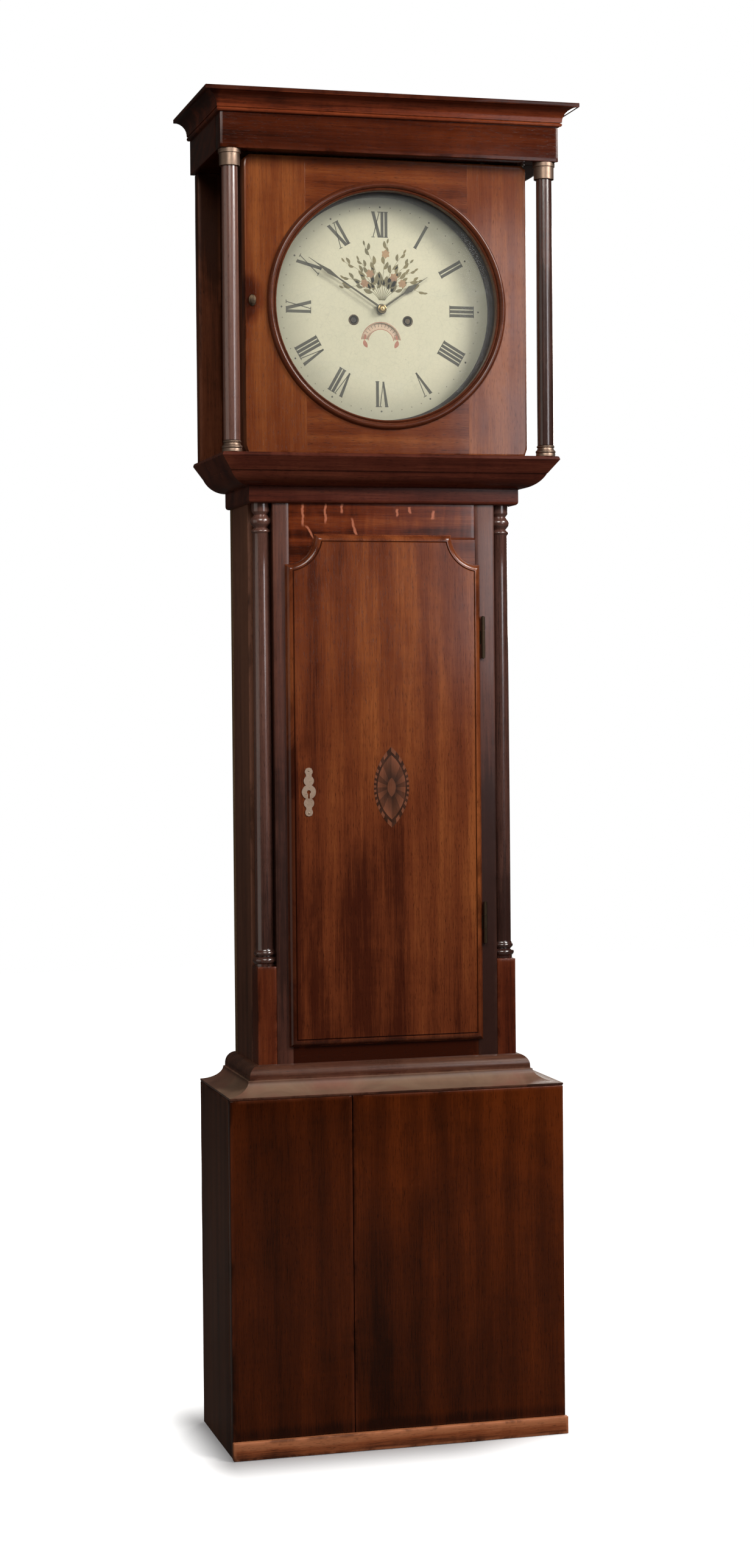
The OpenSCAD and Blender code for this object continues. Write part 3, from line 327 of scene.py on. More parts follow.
# %% Socket arithmetic
class Val:
    """A node's output as a value to reckon with: each operator adds one Math node."""

    def __init__(self, shader, socket):
        self.shader, self.socket = shader, socket

    def math(self, op, *others, clamp=False):
        """A Math node with this value in its first socket and the others in the next ones."""
        ins = dict(enumerate((self, *others)))
        return self.shader.node("Math", ins, operation=op, use_clamp=clamp)

    def __add__(self, o):
        return self.math("ADD", o)

    def __sub__(self, o):
        return self.math("SUBTRACT", o)

    def __mul__(self, o):
        return self.math("MULTIPLY", o)

    def __truediv__(self, o):
        return self.math("DIVIDE", o)

    def __pow__(self, o):
        return self.math("POWER", o)

    def __rsub__(self, o):
        return (self * -1.0) + o

    __radd__, __rmul__ = __add__, __mul__

    def abs(self):
        """The value without its sign."""
        return self.math("ABSOLUTE")

    def clip(self):
        """The value kept between 0 and 1."""
        return self.math("ADD", 0.0, clamp=True)

    def ramp(self, lo, hi):
        """0 below lo, 1 above hi, with a smooth step between; lo may be the larger."""
        ins = {"Value": self, "From Min": lo, "From Max": hi}
        return self.shader.node("MapRange", ins, interpolation_type="SMOOTHSTEP")

    def swing(self, weight):
        """A noise moved to lie about zero: (value - 1/2) times a weight."""
        return (self - 0.5) * weight


def times(colour, k):
    """A colour made darker, or lighter, by a factor."""
    return tuple(k * c for c in colour)


print("half of a colour", times((0.2, 0.1, 0.05), 0.5))

# %% [markdown]
# Every other node comes from `Shader.node`. It takes the node's type, its settings, and the values
# or links of its sockets, and returns one output. The methods under it name what the finishes
# need again and again: a place in the wood, a cloud, a crack, a mixed colour, a bump.


# %% Materials and the world
class Shader:
    """A material under construction, or the world where "worlds" is given."""

    def __init__(self, name, kind="materials"):
        self.made = getattr(bpy.data, kind).new(name)
        self.made.use_nodes = True
        self.tree = self.made.node_tree
        self.tree.nodes.clear()

    def node(self, kind, ins=None, out=0, **settings):
        """Adds a node, sets its settings, fills its sockets with values or links, and returns one
        of its outputs."""
        n = self.tree.nodes.new("ShaderNode" + kind)
        for key, value in settings.items():
            setattr(n, key, value)
        for key, value in (ins or {}).items():
            if isinstance(value, Val):
                self.tree.links.new(value.socket, n.inputs[key])
            else:
                n.inputs[key].default_value = value
        return Val(self, n.outputs[out]) if len(n.outputs) else None

    def vector(self, operation, *ins, out=0):
        """A Vector Math node on the vectors given, in their order."""
        return self.node("VectorMath", dict(enumerate(ins)), out=out, operation=operation)

    def attribute(self, name):
        """The number that the mesh carries under this name at each point."""
        return self.node("Attribute", attribute_name=name, out="Fac")

    def axis(self, k):
        """The object coordinate X, Y or Z, for k = 0, 1 or 2."""
        return self.node("SeparateXYZ", {0: self.node("TexCoord", out="Object")}, out=k)

    def facing(self, k):
        """How far a face looks along X, Y or Z, from -1 to 1."""
        return self.node("SeparateXYZ", {0: self.node("NewGeometry", out="Normal")}, out=k)

    def place(self, scale, shift=None):
        """Object coordinates times one scale or three, shifted by a value so that boards differ."""
        p = self.node("TexCoord", out="Object")
        if shift is not None:
            by = self.node("CombineXYZ", {0: shift * 3.1, 1: shift * 5.3, 2: shift * 7.7})
            p = self.vector("ADD", p, by)
        scale = scale if isinstance(scale, tuple) else (scale,) * 3
        return self.node("Mapping", {"Vector": p, "Scale": scale})

    def noise(self, p, detail=3.0, rough=0.55, twist=0.0):
        """A cloudy value about one half. A bare scale stands for the place at that scale."""
        p = p if isinstance(p, Val) else self.place(p)
        ins = {"Vector": p, "Scale": 1.0, "Detail": detail, "Roughness": rough, "Distortion": twist}
        return self.node("TexNoise", ins, out="Fac")

    def cracks(self, p, wide, narrow):
        """1 on the borders between random cells, fading out from narrow to wide beside them."""
        ins = {"Vector": p, "Scale": 1.0}
        cell = self.node("TexVoronoi", ins, out="Distance", feature="DISTANCE_TO_EDGE")
        return cell.ramp(wide, narrow)

    def mix(self, f, a, b):
        """A colour on the way from a to b: a + f (b - a)."""
        a, b = (c if isinstance(c, Val) else (*c, 1) for c in (a, b))
        return self.node("Mix", {0: f, 6: a, 7: b}, out=2, data_type="RGBA")

    def bump(self, height, distance, strength=1.0, normal=None):
        """A normal bent by a height in metres of `distance`, on top of another one if given."""
        ins = {"Height": height, "Distance": distance, "Strength": strength}
        if normal is not None:
            ins["Normal"] = normal
        return self.node("Bump", ins, out="Normal")

    def surface(self, **ins):
        """The Principled shader: names have underscores for spaces, and colours three values."""
        ins = {key.replace("_", " "): (*v, 1) if isinstance(v, tuple) else v
               for key, v in ins.items()}
        return self.node("BsdfPrincipled", ins, out="BSDF")

    def finish(self, **ins):
        """Ends a material with its Principled shader and returns it."""
        self.node("OutputMaterial", {"Surface": self.surface(**ins)})
        return self.made


print("shader tools ready")

# %% [markdown]
# ## Wood
# One recipe serves every board, because a picture of wood could not follow so many sizes. First
# come the marks that lie at known places: soft darker or lighter spots, some of them painted shade
# or painted light, the pale flecks that quartered wood shows on the rail, and dust.


# %% Marks at known places
def spots(s, places):
    """The sum of soft spots: each is (x, z, half-width, half-height, amount), and fades from its
    amount at the middle to 0 at its rim."""
    x, z, total = s.axis(0), s.axis(2), s.node("Value")
    for x0, z0, rx, rz, amount in places:
        d = ((x - x0) * (1 / rx)) ** 2 + ((z - z0) * (1 / rz)) ** 2
        total = total + d.ramp(1.0, 0.0) * amount
    return total


FLECKS = [
    (-0.1290, 1.4240, 0.020, 0.0), (-0.1170, 1.3960, 0.013, -0.65), (-0.0935, 1.4290, 0.021, 0.0),
    (-0.0670, 1.4350, 0.010, 0.0), (-0.0480, 1.4030, 0.019, -0.3), (0.020, 1.428, 0.007, 0.1),
    (0.041, 1.432, 0.006, -0.1), (0.078, 1.425, 0.008, 0.1),
]
FLECK_RIM, FLECK_CORE, FLECK_WAVE = 0.0027, 0.0008, 0.007


def ray_flecks(s):
    """Pale wavy strokes: each is (x, z, half-height, lean), a line along x + lean (z - z0) that
    fades from its core to its rim and is pushed from side to side by a noise."""
    x, z, total = s.axis(0), s.axis(2), s.node("Value")
    x = x + s.noise(90, 2, 0.5).swing(FLECK_WAVE)
    for x0, z0, tall, lean in FLECKS:
        side = (x - x0 - (z - z0) * lean).abs()
        total = total + side.ramp(FLECK_RIM, FLECK_CORE) * (z - z0).abs().ramp(tall, 0.6 * tall)
    return total.clip()


def dust_film(s, patch, top):
    """Dust on what faces up, in patches: a little less on the sides' lengths, and next to none over
    the height `top`."""
    film = (s.facing(2).ramp(-0.2, 0.7) * (patch * 1.2 + 0.25) * 0.8).clip()
    film = film * (s.facing(0).abs().ramp(0.7, 0.2) * 0.2 + 0.8)
    return film * (s.axis(2).ramp(top + 0.0015, top - 0.0015) * 0.88 + 0.12)


print("ray flecks", len(FLECKS))

# %% [markdown]
# The grain runs along one axis, so the noises are stretched that way: broad colour bands, ribbons
# and the faint ripples across them, fine streaks, hairs, and dark open pores. Stains and worn
# patches aren't stretched. Wear pales the arrises and dirt darkens them in patches; the hollows,
# where the edge value is below 0, get painted shade.

# %% The wood recipe
GRAIN = {  # waves a metre across and along the grain, then detail, roughness and twist
    "band": (13, 0.7, 4, 0.55, 0.9),
    "ribbon": (60, 2.4, 3, 0.6, 0.8),
    "fine": (260, 7, 3, 0.7, 0.0),
    "hair": (1100, 22, 2, 0.6, 0.0),
    "pore": (1700, 95, 1, 0.5, 0.0),
    "wave": (9, 52, 2, 0.5, 1.4),
}
RINGS = {"Scale": 1.6, "Distortion": 5.0, "Detail": 3.0, "Detail Scale": 1.4,
         "Detail Roughness": 0.6}
BLOTCH, FLECK = (0.02, 0.007, 0.005), (0.58, 0.20, 0.11)
DUST = (0.34, 0.165, 0.115), (0.32, 0.205, 0.135)


def wood(name, along, dark, mid, light, spec=0.3, streaks=1.0, figure=0.5, stain=0.5, wear=0.3,
         gloss=0.5, waves=0.1, blotch=BLOTCH, pores=1.0, places=(), stile=0.0, flecks=0.0,
         rough=0.33, dust_top=None, planks=0.0):
    """Polished wood. Its value starts at one half; each noise moves it up or down by its weight,
    and the value picks a colour from dark through mid to light.
    places: spots that darken or lighten the value. flecks: how strongly the ray flecks show.
    stile: a width from the middle within which the grain runs along X, and outside it along Z.
    planks: the width of the boards that a wide panel is joined from. dust_top: the height up to
    which dust lies."""
    s = Shader(name)
    tone, edge = s.attribute("tone"), s.attribute("edge")
    if stile:
        x = s.axis(0)
        inside = x.abs() - stile
        crosswise = inside.ramp(0.0002, -0.0002)
        tone = tone + inside.ramp(-0.0001, 0.0001) * (x.ramp(-0.01, 0.01) * 0.31 + 0.17)
    own = tone
    if planks:
        count = s.axis(0) / planks
        tone = tone + count.math("FLOOR") * 0.37
        own = tone.math("FRACT")
        gap = (count.math("FRACT") - 0.5).abs().ramp(0.4915, 0.4985)

    def grain(across, lengthwise):
        """The place in the wood, in waves a metre across the grain and along it."""
        v = [across] * 3
        v["xyz".index(along)] = lengthwise
        p = s.place(tuple(v), tone)
        if not stile:
            return p
        ins = {0: crosswise, 4: p, 5: s.place((lengthwise, across, across), tone)}
        return s.node("Mix", ins, out=1, data_type="VECTOR")

    g = {key: s.noise(grain(a, b), *rest) for key, (a, b, *rest) in GRAIN.items()}
    arches = s.node("TexWave", {"Vector": grain(7, 0.6), **RINGS}, out="Fac",
                    wave_type="RINGS", rings_direction="SPHERICAL")
    pore = g["pore"].ramp(0.62, 0.70)
    blot = s.noise(s.place((3.4, 3.4, 2.3), tone), 5, 0.62, 0.6)
    patch = s.noise(s.place((12, 12, 8), tone), 5, 0.65, 0.9)
    weighed = [
        (g["band"], 1.1 * streaks), (arches, 0.32 * figure), (g["ribbon"], 0.55 * figure),
        (g["fine"], 0.75 * streaks), (g["hair"], 0.5), (g["wave"], waves),
        (blot, 0.9), (patch, 0.35), (own, 0.2),
    ]
    value = sum((noise.swing(weight) for noise, weight in weighed), 0.5)
    if places:
        value = value + spots(s, places)
    base = s.mix(value.ramp(0.12, 0.55), dark, mid)
    base = s.mix(value.ramp(0.45, 1.0), base, light)
    stained = (blot.ramp(0.52, 0.74) * 0.7 + patch.ramp(0.6, 0.8) * 0.3).clip()
    base = s.mix(stained * stain, base, blotch)
    base = s.mix(pore * 0.6 * pores, base, times(dark, 0.2))
    if planks:
        base = s.mix(gap * 0.9, base, times(dark, 0.12))
    if flecks:
        base = s.mix(ray_flecks(s) * flecks, base, FLECK)
    worn = (edge.clip() * 0.9 * patch.ramp(0.38, 0.62)).clip() * wear
    base = s.mix(worn, base, tuple(min(1, 1.3 * c + 0.015) for c in light))
    # Dirt on the arrises in patches, and painted shade in the hollows, where the edge is below 0.
    dirt_and_painted_shade = ((edge * patch.ramp(0.52, 0.36)).clip() * 0.6 + (edge * -0.9).clip()).clip()
    base = s.mix(dirt_and_painted_shade, base, times(dark, 0.45))
    scratch = s.cracks(s.place((55, 55, 8), tone), 0.018, 0.004) * patch.ramp(0.58, 0.7)
    base = s.mix(scratch * 0.3 * wear, base, light)
    sheen = blot.swing(0.16) + patch.swing(0.08) + g["fine"].swing(0.05) + worn * 0.12 + rough
    if dust_top:
        film = dust_film(s, patch, dust_top)
        cloud = s.noise(s.place(7, tone), 4, 0.6).ramp(0.4, 0.6)
        base = s.mix(film, base, s.mix(cloud, *DUST))
        sheen = sheen + film * 0.3
    height = g["fine"] * 0.25 + g["hair"] * 0.3 - pore - scratch * 0.7
    wavy = s.bump(s.noise(s.place((8, 8, 5), tone), 4, 0.6), 0.0016, 0.3)
    return s.finish(
        Base_Color=base, Roughness=sheen.clip(), Normal=s.bump(height, 0.0001, 0.22, wavy),
        Coat_Weight=patch.ramp(0.8, 0.4) * gloss * 0.6, Coat_Roughness=0.1,
        Specular_IOR_Level=spec)


print("noises in each wood", len(GRAIN))

# %% [markdown]
# Each group of boards has faded and been polished in its own way: the doors are the reddest, the
# frieze is nearly black, and the strip along the foot is scuffed pale, with painted light on its
# upper half. One table holds them all, so that neighbours can be compared. Colours are dark, mid
# and light; a place is (x, z, half-width, half-height, amount). The places marked below are
# painted shade or painted light.

# %% The woods of the case
PINE = dict(
    dark=(0.10, 0.055, 0.028), mid=(0.24, 0.145, 0.075), light=(0.36, 0.24, 0.135), stain=0.5,
    gloss=0.0, blotch=(0.06, 0.035, 0.02), pores=0.2, rough=0.7)
WOOD = {
    "base_v": wood(
        "base wood", "z", (0.022, 0.0046, 0.0012), (0.066, 0.0122, 0.0022), (0.15, 0.028, 0.0045),
        spec=0.22, streaks=0.32, stain=0.25, gloss=0.25, rough=0.15,
        # Painted shadow: the place at z 0.028 darkens the front just above the strip.
        places=[(0.0, 0.028, 0.9, 0.022, -0.25), (0.2, 0.42, 0.16, 0.22, 0.2),
                (0.02, 0.08, 0.2, 0.16, -0.1), (-0.02, 0.43, 0.14, 0.12, 0.12),
                (0.08, 0.30, 0.06, 0.1, 0.1)]),
    "base_side_v": wood(
        "base side wood", "z", (0.032, 0.0128, 0.0080), (0.082, 0.0310, 0.0185),
        (0.14, 0.056, 0.033), spec=0.2, gloss=0.1, figure=0.3, rough=0.4),
    "hood_side_v": wood(
        "hood side wood", "z", (0.042, 0.0125, 0.0055), (0.128, 0.0360, 0.0150),
        (0.21, 0.066, 0.028), spec=0.1, stain=0.4, gloss=0.0, figure=0.3, rough=0.3,
        # Painted shade: the place darkens the top of the hood sides.
        places=[(-0.222, 1.95, 1.0, 0.2, -0.5)]),
    "side_v": wood(
        "side wood", "z", (0.050, 0.0205, 0.0120), (0.130, 0.050, 0.030), (0.23, 0.095, 0.056),
        stain=0.4, gloss=0.1, figure=0.3, rough=0.38,
        # Painted light at z 1.25 on the trunk sides, painted shade at z 1.8 under the hood.
        places=[(-0.206, 1.25, 1.0, 0.5, 0.35), (-0.206, 1.8, 1.0, 0.35, -0.2)]),
    "trunk_v": wood(
        "trunk wood", "z", (0.034, 0.0105, 0.0065), (0.098, 0.031, 0.019), (0.19, 0.065, 0.036),
        spec=0.5, rough=0.32,
        # Painted shade: the place at x 0.17 darkens the lower right stile.
        places=[(0.17, 0.70, 0.05, 0.5, -0.45), (-0.17, 0.88, 0.06, 0.3, -0.28)]),
    "block_v": wood(
        "block wood", "z", (0.035, 0.0065, 0.0028), (0.105, 0.0195, 0.0065),
        (0.18, 0.038, 0.011), stain=0.4, gloss=0.35, rough=0.24),
    "rail_x": wood(
        "rail wood", "x", (0.038, 0.0072, 0.0027), (0.132, 0.0240, 0.0068), (0.28, 0.068, 0.018),
        stain=0.4, gloss=0.45, streaks=0.7, waves=0.6, figure=0.8, flecks=0.75, rough=0.15,
        # Painted shadow: the place at z 0.600 darkens the rail just under the door's lip.
        places=[(0.0, 0.600, 0.6, 0.035, -0.55), (-0.13, 1.42, 0.04, 0.05, 0.1),
                (0.1, 1.40, 0.1, 0.02, -0.15)]),
    "door_v": wood(
        "door wood", "z", (0.062, 0.0125, 0.0052), (0.172, 0.040, 0.0128), (0.33, 0.095, 0.026),
        streaks=0.5, stain=0.25, blotch=(0.05, 0.011, 0.005), gloss=0.45, figure=0.6, wear=0.1,
        rough=0.17,
        # Painted shade: the place at x -0.160 darkens the door's left edge, in the gap by the
        # stile.
        places=[(-0.160, 0.86, 0.035, 0.36, -0.35), (0.015, 1.2, 0.13, 0.26, 0.22),
                (-0.05, 1.03, 0.05, 0.16, 0.18), (-0.04, 0.72, 0.22, 0.26, -0.1),
                (-0.12, 1.28, 0.05, 0.2, -0.1), (0.09, 0.86, 0.06, 0.2, 0.08),
                (0.14, 0.9, 0.015, 0.16, 0.2)]),
    "hood_v": wood(
        "hood wood", "z", (0.055, 0.0105, 0.0036), (0.152, 0.035, 0.0105), (0.27, 0.080, 0.022),
        streaks=0.6, stain=0.4, gloss=0.45, figure=0.7, stile=0.128, rough=0.15,
        # Painted light at x 0.18 on the right stile, painted shade round the catch at x -0.213.
        places=[(-0.18, 1.9, 0.12, 0.16, 0.18), (0.0, 1.945, 0.16, 0.03, 0.15),
                (0.05, 1.53, 0.17, 0.04, 0.14), (0.18, 1.74, 0.07, 0.22, 0.14),
                (-0.213, 1.745, 0.024, 0.045, -0.5), (-0.175, 1.68, 0.05, 0.2, 0.15)]),
    "frieze_x": wood(
        "frieze wood", "x", (0.018, 0.0034, 0.0012), (0.052, 0.0088, 0.0025),
        (0.100, 0.019, 0.0048), spec=0.2, stain=0.35, gloss=0.12, figure=0.6, rough=0.15,
        places=[(0.16, 1.995, 0.16, 0.05, 0.3), (-0.2, 1.995, 0.1, 0.05, -0.05)]),
    "cornice_x": wood(
        "cornice wood", "x", (0.043, 0.0092, 0.0042), (0.152, 0.0292, 0.0102),
        (0.28, 0.066, 0.021), spec=0.15, stain=0.35, gloss=0.12, wear=0.1, rough=0.18,
        # Painted shade: the place at x -0.291 darkens the left return, the one at z 2.0495 the top
        # fillet.
        places=[(-0.291, 2.03, 0.027, 0.2, -0.5), (0.0, 2.0495, 2.0, 0.0065, -0.6)]),
    "frame_x": wood(
        "hood frame wood", "x", (0.028, 0.007, 0.0045), (0.088, 0.0195, 0.011),
        (0.160, 0.042, 0.021), spec=0.12, stain=0.35, gloss=0.05, wear=0.08, rough=0.24,
        # Painted light: both places lighten the left ends of the hood frame and of the moulding
        # under it.
        places=[(-0.262, 1.50, 0.02, 0.03, 0.15), (-0.235, 1.465, 0.028, 0.03, 0.1)]),
    "ring_x": wood(
        "ring wood", "x", (0.034, 0.0085, 0.0045), (0.098, 0.0235, 0.0095), (0.17, 0.048, 0.020),
        streaks=0.5, stain=0.3, gloss=0.4, figure=0.2, rough=0.2),
    "moulding_x": wood(
        "moulding wood", "x", (0.026, 0.0085, 0.0048), (0.078, 0.023, 0.0125),
        (0.16, 0.062, 0.034), stain=0.45, dust_top=0.565, wear=0.5, rough=0.26),
    "skirt_x": wood(
        "skirt wood", "x", (0.10, 0.025, 0.009), (0.34, 0.092, 0.030), (0.52, 0.185, 0.078),
        stain=0.3, gloss=0.1, wear=0.8, rough=0.5,
        # Painted light: the place at z 0.026 lightens the strip's upper half.
        places=[(-0.1, 0.026, 0.6, 0.013, 0.3), (0.0, 0.004, 0.6, 0.012, -0.12),
                (-0.12, 0.012, 0.07, 0.02, 0.2), (0.17, 0.014, 0.06, 0.02, 0.15)]),
    "column_v": wood(
        "column wood", "z", (0.040, 0.016, 0.012), (0.110, 0.046, 0.034), (0.19, 0.088, 0.066),
        spec=1.0, stain=0.3, gloss=0.8, figure=0.3, rough=0.22,
        # Painted light and shade: x 0.247 darkens the right hood column, -0.247 and -0.1905 lighten
        # the left ones.
        places=[(0.247, 1.74, 0.03, 0.5, -0.35), (-0.247, 1.74, 0.03, 0.5, 0.12),
                (-0.1905, 1.25, 0.03, 0.35, 0.25)]),
    "pine_v": wood("pine upright", "z", planks=0.118, **PINE),
    "pine_x": wood("pine crosswise", "x", **PINE),
    "mask_v": wood(
        "mask wood", "z", (0.008, 0.004, 0.003), (0.02, 0.009, 0.006), (0.04, 0.018, 0.011),
        spec=0.05, stain=0.3, gloss=0.0, wear=0.0, rough=0.8),
}
print("woods", len(WOOD))

# %% [markdown]
# ## Metals, paint, glass and gut
# Brass and steel are bright where hands rub them and brown between. A clean colour is mixed with a
# tarnished one by a cloudy noise, and the same noise roughens the surface and makes it a little
# less metallic, because tarnish is no metal. Fine scratches follow the way it was filed.


# %% Metals
def metal(name, tint, deep, rough=0.3, tarnish=0.5, brush=500, ahead=None):
    """Worn metal: a clean tint where it is rubbed, a deep one where it has tarnished, fine
    scratches along the brush direction, and spots. What lies in front of the movement's front
    plate takes the tint `ahead`, where one is given: painted shade for what sits in the dark
    behind the dial."""
    s = Shader(name)
    if ahead:
        tint = s.mix(s.axis(1).ramp(-0.0025, -0.0005), ahead, tint)
    cloud = s.noise(26, 5, 0.65, 0.4)
    spot = s.noise(160, 3, 0.6)
    line = s.noise(brush, 2, 0.5)
    aged = (cloud.ramp(0.38, 0.66) * 0.8 + spot.ramp(0.58, 0.72) * 0.5).clip() * tarnish
    base = s.mix(line.ramp(0.55, 0.8) * 0.25, s.mix(aged, tint, deep), times(deep, 0.6))
    fine = s.bump(line * 0.4 + spot, 0.00006, 0.4, s.bump(cloud, 0.0006, 0.15))
    sheen = aged * 0.3 + line.swing(0.12) + rough
    return s.finish(Base_Color=base, Metallic=1.0 - aged * 0.35, Roughness=sheen.clip(),
                    Normal=fine)


YELLOW, BROWN = (0.58, 0.42, 0.17), (0.22, 0.15, 0.06)
SHADED = (0.055, 0.050, 0.046)
METAL = {
    "brass": metal("old brass", (0.62, 0.46, 0.22), (0.16, 0.11, 0.06), 0.26, 0.6),
    "dark_brass": metal("dark brass", (0.10, 0.068, 0.042), (0.030, 0.020, 0.014), 0.42, 0.7),
    "pale_brass": metal("pale brass", (0.31, 0.22, 0.165), (0.13, 0.082, 0.062), 0.40, 0.75),
    "keyhole_brass": metal("keyhole brass", (0.60, 0.45, 0.34), (0.27, 0.185, 0.135), 0.45, 0.7),
    "barrel": metal("barrel brass", YELLOW, BROWN, 0.38, 0.5, (60, 700, 60), ahead=SHADED),
    "plate": metal("movement brass", YELLOW, BROWN, 0.38, 0.5, (700, 60, 60)),
    "steel": metal("oiled steel", (0.36, 0.35, 0.33), (0.10, 0.09, 0.08), 0.34, 0.6,
                   (90, 900, 900)),
    "iron": metal("weight iron", (0.16, 0.155, 0.145), (0.05, 0.035, 0.028), 0.55, 0.9),
}
print("metals", len(METAL))

# %% [markdown]
# The dial's ground, its figures and its flowers are oil paint, and the hands have a dark finish.
# Old paint has faint clouds and a net of fine cracks. The borders between the cells of a Voronoi
# texture make the cracks, because they meet at corners as cracks do, where a noise gives blobs.


# %% Paint
def paint_shader(name, colour, shade, rough=0.4, mottled=0.3, rim=0.0):
    """Old oil paint: faint clouds, fine cracks and a few flecks. With a rim share given, painted
    shade darkens it towards the dial's edge, most on the left."""
    s = Shader(name)
    cloud = s.noise(9, 5, 0.65, 0.8)
    cloudlet = s.noise(45, 4, 0.6, 0.5)
    crack = s.cracks(s.vector("ADD", s.place(130), cloudlet * 0.9), 0.05, 0.008)
    fleck = s.noise(330, 2, 0.5).ramp(0.7, 0.78)
    clouded = cloud.ramp(0.3, 0.75) * mottled + cloudlet.ramp(0.45, 0.8) * mottled * 0.6
    base = s.mix(clouded, colour, shade)
    base = s.mix(crack * 0.16 + fleck * 0.35, base, times(shade, 0.45))
    # Painted shade: the paint greys from 108 mm out to the edge, about a centre 8 mm right of the
    # dial's.
    if rim:
        here, middle = s.node("TexCoord", out="Object"), (0.008, DIAL_FACE, DIAL)
        out_by = s.vector("DISTANCE", here, middle, out="Value")
        base = s.mix(out_by.ramp(0.108, 0.178) * rim, base, (0.31, 0.31, 0.21))
    return s.finish(Base_Color=base, Roughness=(cloudlet.swing(0.15) + rough).clip(),
                    Normal=s.bump(crack * -0.6 + cloudlet * 0.3, 0.0001, 0.3))


PAINT = {
    "dial": paint_shader("dial paint", (0.73, 0.70, 0.50), (0.61, 0.61, 0.43), 0.42, 0.45, 0.75),
    "black": paint_shader("numeral paint", (0.035, 0.033, 0.018), (0.09, 0.085, 0.05), 0.5, 0.6),
    "leaf": paint_shader("leaf paint", (0.24, 0.19, 0.06), (0.09, 0.085, 0.03), 0.5, 0.9),
    "petal": paint_shader("petal paint", (0.48, 0.30, 0.13), (0.26, 0.12, 0.06), 0.5, 0.9),
    "rose": paint_shader("calendar paint", (0.50, 0.20, 0.12), (0.34, 0.12, 0.07), 0.5, 0.6),
    "blush": paint_shader("calendar ground", (0.68, 0.50, 0.36), (0.60, 0.44, 0.30), 0.5, 0.5),
    "hand": paint_shader("hand finish", (0.045, 0.042, 0.022), (0.10, 0.085, 0.04), 0.35, 0.5),
}
print("paints", len(PAINT))

# %% [markdown]
# Glass shows by its reflections, gut by its slanting strands, and inlay by the joints between its
# veneers. The pane lets light straight through by a low alpha, because light that bends in glass
# takes many more samples to come out clean. The veneers get their colour from their tone.


# %% Glass, gut and veneer
def glass_shader():
    """A thin clear pane: mostly see-through, with a sharp reflection and faint smears."""
    s = Shader("old glass")
    smear = s.noise((7, 7, 18), 4, 0.6, 1.5)
    wave = s.noise((14, 14, 5), 2, 0.5)
    return s.finish(
        Base_Color=(0.75, 0.8, 0.78), Roughness=(smear.ramp(0.55, 0.8) * 0.12 + 0.03).clip(),
        Alpha=smear.ramp(0.5, 0.85) * 0.04 + 0.05, Specular_IOR_Level=0.6,
        Normal=s.bump(wave, 0.002, 0.2))


def gut_shader():
    """Twisted gut: pale amber with slanting dark strands."""
    s = Shader("gut line")
    ins = {"Vector": s.place((900, 900, 420)), "Scale": 1.0, "Distortion": 0.6}
    strand = s.node("TexWave", ins, out="Fac", bands_direction="DIAGONAL")
    fuzz = s.noise((300, 300, 60))
    base = s.mix(strand * 0.6 + fuzz * 0.3, (0.52, 0.40, 0.20), (0.22, 0.15, 0.07))
    return s.finish(Base_Color=base, Roughness=0.55, Normal=s.bump(strand, 0.0002, 0.6))


def inlay_shader():
    """Thin veneers: the tone picks a dark or a pale wood, and the edge value scorches it."""
    s = Shader("inlay veneers")
    grain = s.noise((700, 700, 60), 3, 0.6)
    cloud = s.noise(90, 3, 0.6)
    pale = s.mix(grain, (0.16, 0.050, 0.024), (0.32, 0.11, 0.052))
    deep = s.mix(grain, (0.020, 0.008, 0.004), (0.055, 0.018, 0.007))
    base = s.mix(s.attribute("tone") + cloud.swing(0.5), deep, pale)
    scorch = (s.attribute("edge") * (cloud + 0.6)).clip() * 0.8
    return s.finish(
        Base_Color=s.mix(scorch, base, (0.02, 0.009, 0.005)),
        Roughness=(cloud * 0.12 + 0.18).clip(), Normal=s.bump(grain, 0.00008, 0.3),
        Coat_Weight=0.1, Coat_Roughness=0.1)


GLASS, GUT, INLAY = glass_shader(), gut_shader(), inlay_shader()
print("made", *(material.name for material in (GLASS, GUT, INLAY)), sep=", ")

# %% [markdown]
# ## The base
# Two front boards with an open joint, two sides that cover the backboards' edges, the floor board
# and the strip along the foot. They are boards with worn arrises; the strip has been kicked for
# longest, so it is worn most.

# %% Base
BOARD_T, BACK_LIP, GAP = 0.018, 0.006, 0.0004
JOINT_SHARE = 0.36
JOINT = BASE_X * (2 * JOINT_SHARE - 1)
front = join(
    board((-BASE_X, BASE_Y, 0), (JOINT - GAP, BASE_IN_Y, BASE_H), seed=1, tone=0.15),
    board((JOINT + GAP, BASE_Y, 0), (BASE_X, BASE_IN_Y, BASE_H), seed=2, tone=0.62),
)
make("base_front_boards", front, WOOD["base_v"], "case", "base_front")
side = join(
    board((BASE_X - BOARD_T, BASE_IN_Y, 0), (BASE_X, INNER_BACK, BASE_H), seed=3, tone=0.35),
    board((BASE_X - BACK_LIP, INNER_BACK - 0.001, 0), (BASE_X, BACK, BASE_H), seed=4, tone=0.35),
)
make("base_side_boards", pair(side), WOOD["base_side_v"], "case", "base_sides")
floor_board = board(*corners("base_floor"))
make("base_floor_board", floor_board, WOOD["pine_x"], "case", "base_floor")
strip = board(*corners("plinth_skirt"), r=0.0022, wear=0.0011, seed=5)
make("plinth_strip", strip, WOOD["skirt_x"], "case", "plinth_skirt")
print("base boards done, joint at", round(JOINT, 4))

# %% [markdown]
# The moulding that steps in from the base to the trunk is a hollow with a quarter round over it.
# It rests on the base and lies against the trunk, so its two ends come from their sizes.

